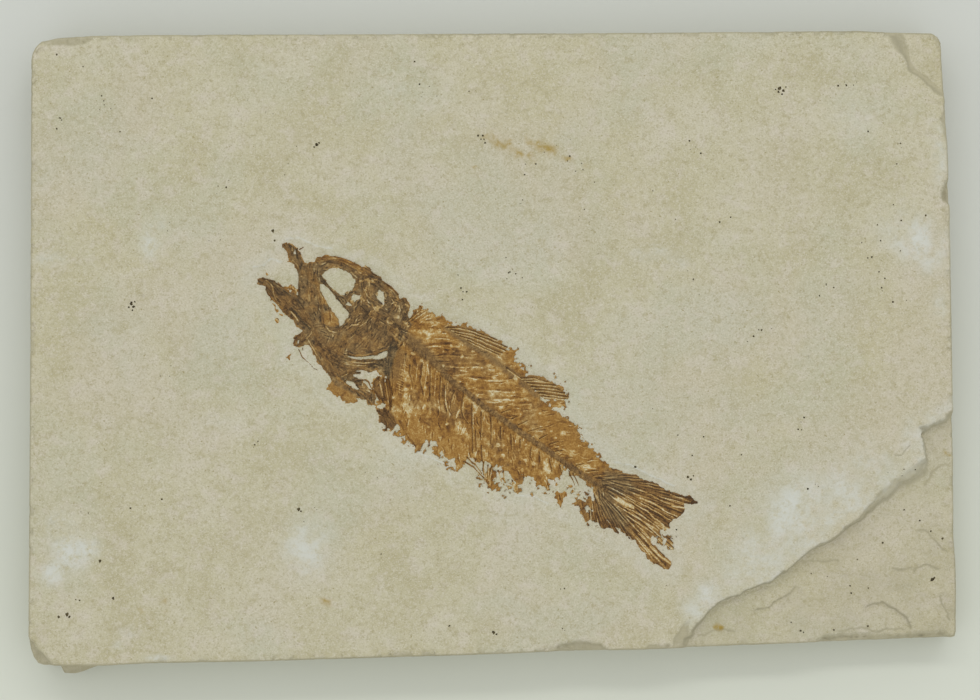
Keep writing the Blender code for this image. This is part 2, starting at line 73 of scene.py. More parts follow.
TOP_EDGE = [
    (-76.2, 50.6), (-75.2, 51.7), (-73.0, 52.2), (-69.8, 52.5), (-57.6, 52.7), (-43.4, 52.8),
    (-28.8, 52.8), (26.3, 53.1), (60.8, 53.4), (64.4, 53.2), (73.4, 53.1), (74.4, 52.5),
]
BOTTOM_EDGE = [
    (-76.7, -51.2), (-76.0, -52.2), (-75.0, -52.5), (-64.9, -52.5), (-57.6, -52.1), (-40.0, -51.8),
    (-27.1, -51.4), (-0.4, -50.6), (11.3, -50.1), (25.9, -49.8), (34.6, -49.5), (55.3, -48.8),
    (66.6, -48.4), (76.9, -48.0), (77.5, -47.8),
]
LEFT_EDGE = [
    (-76.7, -51.2), (-77.2, -49.8), (-77.4, -48.2), (-77.2, -19.0), (-77.0, 20.2), (-76.9, 48.5),
    (-76.7, 49.6), (-76.2, 50.6),
]
RIGHT_EDGE = [
    (77.5, -47.8), (77.7, -47.0), (77.7, -38.2), (77.3, -29.8), (77.2, -16.5), (76.8, -8.2),
    (76.5, 8.5), (76.3, 22.8), (76.1, 28.8), (75.9, 34.3), (75.4, 42.2), (75.0, 48.3),
    (74.9, 51.4), (74.4, 52.5),
]

LEDGE_DEPTH = 1.9
LEDGE_TILT = 0.008  # how far the ledge drops for each millimetre along x past LEDGE_LEVEL
LEDGE_LEVEL = 55.0
BEYOND_LEDGE = (90.0, -70.0)  # a place past the plate's lower right corner
CRACK_AT_FACE = [
    (31.8, -49.6), (31.9, -47.9), (33.4, -46.1), (36.2, -42.9), (37.6, -41.9), (40.5, -40.5),
    (44.3, -38.9), (47.5, -37.6), (49.9, -35.9), (52.8, -33.3), (54.2, -32.3), (56.4, -31.3),
    (58.9, -29.1), (61.1, -27.6), (64.4, -23.0), (67.3, -20.8), (70.1, -18.9), (72.0, -17.7),
    (71.9, -15.4), (71.6, -13.6), (70.9, -12.7), (73.2, -12.0), (75.2, -11.2), (76.2, -10.0),
    (78.5, -9.6),
]
CRACK_AT_LEDGE = [
    (32.6, -50.4), (32.9, -48.4), (34.0, -46.8), (36.6, -43.3), (37.9, -42.3), (40.7, -41.0),
    (44.5, -39.4), (47.8, -38.1), (50.2, -36.4), (53.1, -33.9), (54.6, -32.9), (56.8, -32.0),
    (59.4, -29.9), (61.6, -28.6), (64.9, -26.2), (68.4, -23.7), (71.8, -22.1), (73.4, -20.2),
    (73.2, -18.6), (72.2, -14.2), (72.0, -13.9), (73.9, -12.9), (75.8, -12.2), (76.6, -11.2),
    (78.5, -10.8),
]
# Thin layers that ended on the ledge: path with the lower side on its right, drop, reach
LEDGE_STEPS = [
    ([(43.2, -43.6), (44.6, -43.2), (46.3, -43), (48, -41.6), (49.6, -40.6),
     (51.2, -38.8)], 0.36, 5),
    ([(51.2, -35.4), (53.6, -34.9), (56.4, -35.3), (58.4, -35)], 0.25, 3.5),
    ([(61.6, -43), (63.6, -42.1), (65.4, -42), (68, -43.6), (69.4, -45.2), (70.4, -47)], 0.45, 6),
    ([(76.8, -45.6), (76, -43.6), (74.4, -41)], 0.25, 3),
    ([(75.2, -36.8), (74.2, -36.2), (72.2, -35.7), (70.9, -36.2), (70.4, -37.4)], 0.25, 3),
    ([(66.6, -36.4), (68.8, -36.7), (70.6, -36.2)], 0.15, 2),
    ([(77, -33.6), (75.6, -33.1), (72.4, -30), (70.4, -29.9)], 0.3, 4),
    ([(77.2, -19.2), (75.2, -19.2), (73.6, -20.2), (72, -23.4)], 0.2, 3),
    ([(33.6, -47.9), (37.2, -46.6), (41, -47)], 0.2, 2.5),
    ([(57, -47.2), (61, -46.4), (65, -46.8), (70, -46.2)], 0.2, 2),
]
HAIRLINE_DEPTH = 0.12
HAIRLINE_CRACK = [(67.2, -17.4), (68.0, -17.3), (68.8, -16.6), (69.4, -15.8)]

CHIP_DEPTH = 1.1
BEYOND_CHIP = (90.0, 70.0)  # a place past the upper right corner
CHIP_AT_FACE = [
    (64.6, 54.5), (65.6, 52.4), (66.8, 50.6), (68.4, 48.7), (69.4, 46.4), (70.8, 45.4),
    (72.4, 44.2), (74.0, 42.6), (76.5, 41.2),
]
CHIP_AT_FLOOR = [
    (68.8, 54.8), (69.4, 52.0), (69.9, 50.0), (70.3, 48.3), (70.9, 47.2), (71.9, 46.5),
    (73.4, 45.4), (74.6, 44.0), (77.0, 42.6),
]

# Flat facets broken off the upper edge: outline, inner edge first, then its depth at the outside
FACET_SLOPE = 0.7  # width of the slope down to that depth
FACETS = [
    ([(-75.8, 51.4), (-74.4, 50.7), (-71.8, 50.5), (-68.8, 50.7), (-66.6, 51.8), (-69, 54),
     (-77, 54)], 1),
    ([(-77.6, -47.4), (-75, -50), (-73.9, -51.6), (-72.9, -54), (-79, -54)], 1.7),
    ([(77.4, 28.8), (75.5, 28.6), (74.9, 27.6), (74.7, 26.3), (75.1, 25), (75.9, 24.3),
     (77.4, 23.6)], 1.6),
    ([(9.6, -51), (10.6, -49), (12.6, -48.3), (14.6, -48.2), (18.6, -48.6), (20.8, -51)], 0.9),
    ([(24.6, -51), (26.2, -48.6), (29.6, -48.7), (31.8, -51)], 0.5),
    ([(29.6, -51), (30.2, -47.8), (31.4, -45.6), (33.2, -44.6), (32.4, -51)], 0.5),
    ([(52.6, -50), (56, -47.6), (60.4, -47.2), (66, -47.3), (72.4, -46.9), (76, -46.9),
     (79, -50)], 1.5),
    ([(-53, 54), (-51.6, 52.3), (-48.2, 52.2), (-46.4, 54)], 0.5),
    ([(9, 54), (10.4, 52.5), (13.6, 52.4), (15, 54)], 0.4),
    ([(40, 54), (42, 52.5), (46.6, 52.4), (49, 54)], 0.5),
    ([(77, 41.6), (75, 41.4), (74.6, 38.6), (75.1, 35.4), (77, 34.6)], 0.5),
    ([(77.4, 22.4), (75.7, 21.6), (75.5, 18.6), (77.4, 17.6)], 0.4),
]

LIP_FROM, LIP_TO = -73.0, -64.6  # the stretch of the lower edge where a lower layer sticks out
LIP_REACH = 1.7
LIP_HIGH = 6.0

# Bruised white patches of the face: middle, size along x and y, strength
BRUISES = [
    ((51.6, -27.6), 6.2, 6.4, 1), ((45.4, -33.4), 5.6, 4.2, 0.6), ((58.6, -24.2), 4, 5.4, 0.7),
    ((63.6, -18.2), 4.6, 3.6, 0.5), ((36.4, -40.4), 2.6, 2, 0.8), ((33.4, -43.6), 2.4, 2.6, 0.6),
    ((41.6, -36.8), 4.2, 2.2, 0.5), ((69.6, -14.6), 2.6, 2.6, 0.4), ((53, -33), 4, 3, 0.5),
    ((70.8, 18.6), 4.6, 3.6, 0.8), ((73.6, 15), 2.6, 2.6, 0.7), ((74.4, 31.8), 1.2, 4.6, 0.8),
    ((73.8, 36.6), 1.3, 2.6, 0.6), ((67, 21.4), 3.6, 4.6, 0.35), ((74.6, 8), 1.4, 3, 0.4),
    ((-70.4, -33), 3.4, 3.4, 0.9), ((-73.2, -37), 2.2, 2.2, 0.9), ((-68.2, -32.8), 2.6, 2.4, 0.8),
    ((-72.6, -29.6), 3.2, 3, 0.5), ((-30.8, -32.6), 4.4, 4.6, 0.75), ((-31.6, -36.2), 3, 2.4, 0.5),
    ((-57, 18.4), 1.7, 3.2, 0.6), ((-55.6, 21), 1.2, 2, 0.4), ((-73.8, 15.2), 2.6, 1.4, 0.5),
    ((27.4, 16.2), 4, 1.3, 0.45), ((31, 14.6), 2.4, 1, 0.3), ((-16, 43.6), 2, 1.2, 0.2),
    ((-62, -49), 1.4, 0.8, 0.5), ((2, -28), 6, 2, 0.2), ((-66.4, 46.6), 0.5, 0.4, 0.9),
    ((-55.6, -51.2), 2.4, 0.5, 0.9), ((-46, -12), 5, 2, 0.15), ((60, 40), 4, 5, 0.2),
    ((-60.6, -47), 2, 1, 0.3),
]
# Rust smears, colour only: path and width
RUST_SMEARS = [
    ([(-1.1, 35.9), (0.6, 34.5), (2.9, 33.7)], 0.8), ([(-0.2, 35.8), (3, 34.6)], 0.7),
    ([(2.6, 33.7), (3.2, 33.6)], 1), ([(3, 33.7), (4.2, 33.3), (4.9, 32.8)], 0.7),
    ([(6, 32.5), (6.8, 31.9)], 0.9), ([(5.9, 35.2), (7.6, 34.7)], 0.8),
    ([(7.4, 34.5), (8.6, 34.3), (9.4, 33.9)], 1.7), ([(8.9, 33.8), (10.2, 33)], 1.2),
    ([(10.6, 32.8), (11.9, 32.2), (13, 32)], 0.6), ([(37.2, -46), (38.4, -46.5)], 0.9),
    ([(-28.2, -41.6), (-27.4, -41.9)], 0.8), ([(-54.9, -41.7), (-54.6, -42)], 0.8),
    ([(-54.5, -43.5), (-54.3, -43.7)], 0.6), ([(75.9, -17), (76.5, -17.3)], 0.5),
    ([(-3.2, 30.7), (-2.8, 30.6)], 0.4), ([(14.6, 30.9), (15.8, 30.6)], 0.4),
    ([(-58.6, -43.3), (-58.3, -43.5)], 0.5),
]
# Dark grains set in the face: place and radius
GRAINS = [
    ((47.9, 43.8), 0.3), ((48.5, 43.4), 0.24), ((47.7, 43.2), 0.18), ((48.3, 42.8), 0.16),
    ((47.2, 43.6), 0.13), ((48.9, 44), 0.12), ((-29.3, 34.4), 0.28), ((-28.9, 34.7), 0.16),
    ((-29.7, 34), 0.15), ((-60.2, 7.9), 0.3), ((-59.8, 7.4), 0.24), ((-60.6, 7.3), 0.18),
    ((-59.6, 8.2), 0.15), ((-60, 6.8), 0.14), ((-32.3, -26.4), 0.28), ((-31.9, -26.7), 0.15),
    ((-70.9, -43.9), 0.32), ((-70.5, -44.3), 0.2), ((-72.3, -44.3), 0.22), ((0.2, -46.9), 0.28),
    ((0.7, -47.2), 0.18), ((73.7, -38.3), 0.36), ((74, -38), 0.2), ((-7.2, -45.8), 0.16),
    ((-65.4, -35), 0.24), ((-63.2, -41.2), 0.24), ((-55.1, -24.7), 0.18), ((-60.3, -26.2), 0.16),
    ((-36.6, 20), 0.26), ((-36.3, 18.4), 0.18), ((23.8, -19.3), 0.2), ((32.6, -21), 0.22),
    ((33.1, -21.4), 0.2), ((33.5, -20.8), 0.12), ((37.9, 21.5), 0.16), ((39.7, 22.3), 0.14),
    ((-2.4, 35.9), 0.17), ((-1.6, 35.9), 0.18), ((-1.2, 34.7), 0.17), ((-1.9, 35.3), 0.12),
    ((-1.4, 35.3), 0.12), ((12.9, 32.5), 0.18), ((-3.9, 43.3), 0.12), ((65.3, -32.1), 0.18),
    ((69, -26.6), 0.14), ((71.6, -28.4), 0.16), ((73.5, -30.2), 0.16), ((75.4, -31.4), 0.2),
    ((59.9, -39.3), 0.15), ((60.1, -40.5), 0.15), ((62.9, -39.7), 0.13), ((50, -45.4), 0.12),
    ((51.6, -46.8), 0.18), ((52.1, -47.1), 0.12), ((57.2, -46.7), 0.17), ((62.9, -46.1), 0.18),
    ((61.1, -34.9), 0.12), ((30.9, -14), 0.13), ((35.2, -14.3), 0.14), ((33.3, -17.4), 0.13),
    ((41.5, -17.3), 0.12), ((39.6, -25.8), 0.14), ((30.7, -29.8), 0.14), ((-68.2, 47.4), 0.12),
    ((62.6, 36.6), 0.16), ((68, 34.6), 0.14), ((72.2, 22.6), 0.16), ((64.7, 18.4), 0.14),
    ((64.4, 13.2), 0.14), ((65.4, 12.1), 0.12), ((-72.6, 49.4), 0.18),
]
GRAIN_FLATNESS = 0.06
# Smaller grains, strewn in clusters over the face
GRAIN_CLUSTERS = 64
CLUSTER_SPREAD = 1.1

# The fish
NECK = (-15.4, 2.3)
FISH_TILT = math.radians(35.0)
FISH_STEP = 0.1
FISH_U = (-28.0, 61.0)
FISH_V = (-17.0, 12.0)
FISH_SUNK = 0.28  # how far the scraped stone round the fish lies below the face
BED = 0.75  # how far the undersides of the fish's pieces lie below the face
FILM_THICK = 0.09
FRINGE = 0.16  # how far a piece goes on past the film's edge, and how far it drops there
RELIEF_TRIANGLES = 170000
BONE_HEIGHT = 0.7  # share of their stated height at which the head's bones stand

# The limit of the scraped stone round the fish
SCRAPED = [
    (-27.2, -4.8), (-25.6, -7.6), (-21, -8.9), (-18.6, -10.8), (-15.6, -10.8), (-13.8, -14.6),
    (-11.4, -13.6), (-6.8, -13.6), (-6, -15), (-1.2, -15.4), (3, -14.2), (6.6, -15.4), (11, -15.6),
    (14.6, -13.9), (17, -13.4), (20.8, -14.5), (22.4, -12.8), (27.2, -12.8), (35.2, -8.7),
    (38.6, -9), (40.2, -7.8), (43.4, -8.9), (47.6, -7.4), (52, -7.2), (57, -7.9), (60.2, -6.8),
    (59.8, -4.2), (57.4, -2), (57, 3), (57.9, 6.9), (54.2, 6.9), (43.5, 4.7), (36.4, 4.2),
    (33.2, 5.6), (29.8, 6), (29.6, 9), (25, 9.8), (22, 8.9), (18.6, 10.3), (7, 9.4), (4.8, 8),
    (0.6, 7.6), (-1.2, 6.7), (-10.8, 7.6), (-21, 4.2), (-24.6, 3.5), (-25.6, 2.4), (-25.9, -1.6),
]
RIDGE_HEIGHT = 0.06
SCRAPE_LINES = [
    [(-27.1, -4.8), (-25.5, -3.1), (-25.2, -1.6), (-23.4, -1)],
    [(-25.2, 1.9), (-24.6, 2.9), (-23.2, 3.9), (-19.5, 4.7), (-17.8, 5.7)],
    [(40.4, 3.1), (43.4, 4.5), (51.6, 5.8)], [(13, -14.2), (18, -12.9), (20, -13.9)],
    [(30.6, -10.6), (33.4, -9), (36, -8.6)],
]

# Edges of the mineral film, which is what shows as the fish's body
HEAD_EDGE = [
    (-25, 1.7), (-23.8, 2.4), (-22.2, 2.3), (-20.4, 0.9), (-19, 2), (-18.9, 2.8), (-18, 4),
    (-16, 5.2), (-13, 5.7), (-10.7, 6.6), (-10, 6.2), (-8.3, 6.5), (-8.1, 6.1), (-4.5, 5.8),
    (-3.8, 5.3), (-2.7, 5.9), (-1.8, 5.3), (-1, 3.7), (0.6, 3), (1.4, -4), (2.6, -6.4), (1.2, -7),
    (0, -6.6), (-0.5, -7.6), (-1.8, -8.2), (-1.6, -9), (-0.5, -9.6), (2.6, -10.4), (3, -11.4),
    (2.2, -12.2), (0.3, -12), (0, -13.4), (-1.2, -14.3), (-2.5, -14), (-5, -14.1), (-5.4, -13.5),
    (-5.1, -12.7), (-6.5, -12), (-8.5, -11.6), (-10.9, -10.4), (-11.2, -9.9), (-12.4, -10.1),
    (-12.8, -11.2), (-13.9, -11.3), (-14.6, -10), (-14.2, -9.5), (-14.1, -8.6), (-16, -8.1),
    (-16.4, -7.6), (-16.6, -8), (-17.8, -7.9), (-22.6, -6.7), (-23, -6.2), (-24.8, -6.4),
    (-25, -5.5), (-23.3, -4.3), (-20.5, -4.3), (-18, -3.9), (-20.6, -0.5), (-22.4, -0.2), (-24, 1),
    (-24.8, 1.1),
]
BODY_EDGE = [
    (-0.5, 6), (1.5, 6.8), (4, 7), (5.9, 6.7), (8.6, 8.7), (9.2, 8.3), (10.2, 8.6), (15.4, 8.6),
    (16.2, 9.2), (17.8, 9.4), (17.9, 7.3), (19.9, 8.1), (19.9, 7.5), (22.4, 6.2), (26.4, 5.2),
    (31.4, 5.1), (33.2, 4.7), (34.9, 3.7), (41.6, 2.3), (42.4, 0.4), (42.4, -2.4), (37.4, -2.2),
    (36.4, -2.7), (35, -2.1), (35.6, -3.1), (34.9, -3.8), (33.9, -7.2), (32.6, -7.2), (31.8, -6.6),
    (30.3, -7.3), (31.4, -8.6), (30, -9), (28, -8.1), (23, -9.2), (21, -10), (20.9, -13.4),
    (19.4, -12.1), (16.6, -12), (15.9, -12.7), (15.2, -12.2), (14.8, -11.2), (13.3, -11.8),
    (13.8, -13.1), (10.8, -14.7), (10.4, -14.4), (11.2, -13.8), (11, -13.4), (9.5, -13.4),
    (8, -12.5), (8, -13.5), (6.8, -14.4), (4.2, -12.9), (2.2, -10.2), (2, -7.2), (-0.6, 0.4),
    (-0.8, 4),
]
TAIL_EDGE = [
    (41.2, 1.9), (42.3, 2.9), (43, 2.8), (49, 4.5), (51, 4.7), (54, 5.5), (54.8, 6), (56, 5.8),
    (56.5, 6.2), (56.2, 5.5), (54.5, 4.3), (55.5, 3.9), (55.4, 2.4), (54.7, 1.1), (54.7, 0.3),
    (55.3, -0.2), (54.8, -0.9), (54, -1.4), (53.7, -1.9), (53.9, -2.6), (53.2, -3.2), (54, -3.9),
    (55, -4.2), (57, -4.7), (58.4, -4.7), (58.9, -5.5), (58.3, -6.4), (57.3, -6.3), (56.2, -6.8),
    (52.4, -5.8), (51.6, -5.3), (50, -5.5), (47, -5.4), (43, -4.5), (42, -3.8), (41, -2.6),
]
FLAKES = [
    [(0.4, -8.8), (0.5, -7.8), (1.2, -7), (2.2, -7.3), (3.2, -8.8), (4.4, -10), (4.3, -10.7),
     (3.2, -10.6), (1.4, -9.8)],
    [(-13.7, -13.5), (-13.3, -12.9), (-12.8, -13.9)],
    [(-18.7, -9.5), (-18.4, -9.1), (-17.9, -9.4), (-17.6, -10), (-18.1, -10)],
    [(-20.7, -7.6), (-18.3, -8.1), (-18.4, -8.4), (-20, -8.1)],
    [(-24.5, -3.9), (-24.2, -4), (-24, -4.5), (-24.3, -4.4)],
    [(-20.4, -4.1), (-19.4, -3.2), (-18.4, -3.4), (-18.2, -4.2)],
    [(36.1, -5.9), (36.8, -5.8), (37.2, -5.3), (37.7, -5.6), (37.5, -6.2), (38.2, -7.2),
     (38, -7.9), (37.4, -7.8), (37, -7.3), (36.2, -7.2)],
    [(34.8, -4.9), (35.2, -5), (35.9, -5.4), (35.5, -5.5)],
    [(39.3, -6.2), (40, -6.6), (40.9, -5.2), (40.3, -4.9)],
    [(41.1, -4), (42.4, -3.7), (44, -4.7), (48.7, -5.8), (48.2, -6.3), (47, -6.1), (46.4, -6.5),
     (45.4, -6.7), (43.6, -6.3), (43, -7.6), (42.2, -6.9), (41, -6.8), (41.6, -6.2), (42.8, -5.8),
     (43, -5.3), (41, -4.9)],
    [(54.4, -1.7), (56.2, -1.7), (56.1, -2), (54.5, -2.1)],
    [(55, -2.1), (55.6, -2.2), (55.5, -2.5), (55, -2.4)],
    [(56.9, -2.2), (57.3, -2.2), (57.3, -2.5), (56.9, -2.5)],
    [(56, -2.8), (56.6, -2.8), (56.5, -3.1), (56, -3.1)],
    [(54.9, -3.1), (55.4, -3.1), (55.5, -3.4), (55, -3.4)],
    [(25.9, 8.4), (26.3, 8.9), (27, 8.8), (27.3, 8.3), (26.6, 8.1)],
    [(27.3, 6.3), (28.5, 6.9), (28.7, 6.2), (28.4, 5.6), (27.4, 5.2), (26.2, 5.2)],
    [(25.4, -9.3), (26.3, -9.5), (26.8, -10), (26.4, -10.9), (26.6, -11.3), (26.2, -11.7),
     (25.7, -11.4), (25.2, -10.4)],
    [(29, -8.8), (31, -9.9), (31, -10.3), (30.4, -10.2), (29.4, -9.6)],
]

# Thin skin between the fins' rays
FIN_WEBS = [
    [(5.2, 6.2), (7.4, 7.6), (9.6, 8.4), (13, 9), (15.6, 9), (15.6, 7), (10, 6)],
    [(19.8, 6), (21.2, 7.4), (23.4, 8.3), (25.4, 8.7), (27.6, 8.5), (28.9, 8), (28.8, 6.9),
     (27, 5.6), (24, 5.2)],
]
# Loose crumbs of film
CRUMBS = [
    [(35.2, -3.4), (37.4, -3), (39.4, -3.4), (41.6, -3.2), (42.6, -4.2), (41, -4.9), (36.4, -4.8)],
    [(40.4, -4.6), (42.8, -4.4), (47.6, -5.6), (48.4, -6.4), (44.6, -6.9), (42.6, -7.4),
     (40.6, -6.6)],
    [(8, -13.2), (13.6, -12.6), (20.8, -12.2), (21, -13.6), (15.6, -13.2), (10.4, -15)],
    [(24, -9.4), (31, -8.8), (31.6, -10.4), (27, -12.2), (24.4, -12.4)],
    [(31.4, -6.9), (35.2, -6), (36, -7.4), (33, -8.4)],
    [(53.6, -1), (57.6, -1.4), (57.8, -2.8), (55.4, -4), (53.2, -3.2)],
    [(15.6, 9.6), (20.4, 8.4), (21, 7.2), (18, 7.2)],
    [(24.8, 9.2), (28.8, 9), (29.2, 5.8), (27.6, 7.6), (25.4, 8.6)],
]

# Places where the film is missing and the stone shows
EYE_SOCKET = [
    (-16.6, 0.9), (-16.4, 2), (-15.9, 3), (-14.7, 3.6), (-13.3, 3.9), (-11.9, 3.7), (-11.2, 3.4),
    (-11.1, 1.9), (-11.5, 1.2), (-11.7, 0.2), (-12.9, 0),
]
HOLES = [
    EYE_SOCKET,
    [(-16, -0.5), (-15.1, 0), (-9.4, -1.6), (-9, -2.6), (-8.9, -3.8), (-9.4, -4.3), (-10.4, -3.2),
     (-11.8, -3), (-15.3, -1.2)],
    [(-7.2, 4.4), (-6.6, 4.6), (-6.1, 4.2), (-5.5, 3.4), (-5.3, 2.8), (-7.1, 3.2)],
    [(-10.4, 1.6), (-9.4, 1.9), (-9.2, 1.3), (-9.6, 0.4), (-10.1, 0.6)],
    [(-10.5, -0.1), (-9.7, -0.3), (-9.9, -0.7), (-10.5, -0.6)],
    [(-22.7, 1.8), (-22.2, 1.9), (-22, 1.5), (-22.5, 1.2)],
    [(-13.7, -10.1), (-13.3, -10.2), (-13.4, -10.6), (-13.7, -10.5)],
    [(-5.4, -7.7), (-3.8, -7.2), (-1.3, -5.5), (-0.3, -4.6), (-0.15, -3.8), (-0.5, -3.1),
     (-0.9, -3.5), (-1.4, -4.5), (-2.6, -5.7)],
    [(-2.8, -8.6), (-0.5, -7.3), (0, -6.6), (0.7, -7.1), (0.4, -8), (0.5, -9), (-0.4, -8.9),
     (-1.5, -9.5), (-2.7, -9.7)],
    [(-3.4, -10.9), (-1.8, -10.7), (-0.4, -11.1), (-1.4, -11.4), (-3, -11.5)],
    [(3.6, -11.5), (3.6, -10.9), (4.2, -10.5), (4.7, -11), (3.9, -11.9)],
    [(36.4, -3.4), (37.4, -2.6), (38.6, -2.7), (37.8, -3.2), (37, -4.4), (36.2, -4.4)],
]

# Larger areas of one colour: outline, tone, greyness, how soft the edge is
AREAS = [
    ([(-25, -5.6), (-23, -4.3), (-18, -4.1), (-15, -5.6), (-13, -7.4), (-17, -7.9),
     (-23, -6.4)], 0.82, 0.35, 0.3),
    ([(-11.4, 6.5), (-8, 6.4), (-8.2, 4.6), (-10, 4.2), (-11.6, 4.6)], 0.88, 0.35, 0.3),
    ([(-8, 1.6), (-1, 1.6), (0.6, 0), (-0.6, -2.6), (-2.2, -4.6), (-5.5, -6.9), (-7.6, -6.6),
     (-8.6, -3)], 0.72, 0.35, 0.4),
    ([(-12.4, -7), (-6, -7.6), (-6, -10.4), (-10.4, -10.2)], 0.72, 0.3, 0.5),
    ([(-12.2, -3.2), (-10.6, -3.1), (-9.6, -4), (-10.4, -5.4), (-12, -5.3),
     (-12.8, -4.2)], 0.42, 0, 0.25),
    ([(-14.9, -1.6), (-13.4, -1.6), (-12.9, -2.6), (-14, -2.9)], 0.42, 0, 0.3),
    ([(-5.4, -14.2), (-5, -12.6), (-0.4, -12.2), (0.4, -12.6), (-0.6, -14)], 0.44, 0, 0.3),
    ([(-20.6, -4.3), (-20.4, -3.2), (-18.4, -3.4), (-18.4, -4.2)], 0.42, 0, 0.2),
    ([(-0.9, -1), (0.2, -1.2), (1, -3.2), (1.8, -4.2), (1.9, -5.2), (2.6, -6.6), (1.4, -6.6),
     (0.6, -5.8), (-0.2, -6.3), (-0.7, -6), (-0.9, -5.3), (0, -4.6)], 0.86, 0.85, 0.2),
    ([(0.6, -8.6), (1, -7.3), (1.5, -7.1), (4, -9.9), (3.6, -10.3), (1.5, -9.6)], 0.74, 0.4, 0.2),
    ([(3.9, -11.7), (5.4, -10.9), (7.5, -11.6), (8.1, -12.8), (6.8, -14.3),
     (4.6, -13)], 0.82, 0.5, 0.3),
    ([(8.6, -10), (20.6, -8.8), (21, -12), (14, -11.8), (10.8, -14.6), (8.6, -13)], 0.42, 0, 0.8),
    ([(26, 4.8), (33, 4.4), (38.6, 2.4), (40, 0.4), (33, 0.6), (26, 1.6)], 0.47, 0, 0.8),
    ([(20.4, 6.2), (24, 6), (26.4, 5.2), (24, 4.6), (20.6, 4.9)], 0.62, 0.7, 0.4),
    ([(5, 6), (14, 6.5), (20.4, 6.3), (20, 5.4), (5.2, 5.2)], 0.62, 0.8, 0.4),
    ([(-1, 1.6), (4, 1.6), (9.6, 0.4), (9.6, -0.6), (4, -0.8), (0, -0.4)], 0.66, 0.7, 0.6),
    ([(0.6, -1.2), (3.4, -1.6), (3.6, -5.6), (2.6, -6.4), (1.2, -3.6)], 0.6, 0.4, 0.5),
    ([(17.2, 6), (19.6, 6), (19.6, 5.1), (17.4, 5)], 0.6, 0.6, 0.4),
    ([(16, 9.4), (18, 9.2), (19.8, 7.8), (17, 6.8)], 0.42, 0, 0.3),
    ([(7, 8.6), (9.4, 8.8), (10.6, 8.4), (8, 7.6)], 0.46, 0, 0.3),
    ([(40.8, 1.4), (43, 2.6), (46.4, 3.4), (47.4, 1.8), (44.6, -1), (48, -2.6), (50, -4.8),
     (45, -4.9), (41.6, -3.4)], 0.66, 0.9, 0.8),
    ([(44.6, -1.2), (46, -0.7), (48, -0.7), (46.8, -1.5), (45.2, -1.9)], 0.1, 0.4, 0.4),
    ([(44, 2.8), (50, 4.5), (54, 5.2), (53, 3.6), (47, 2)], 0.74, 0.4, 0.5),
]

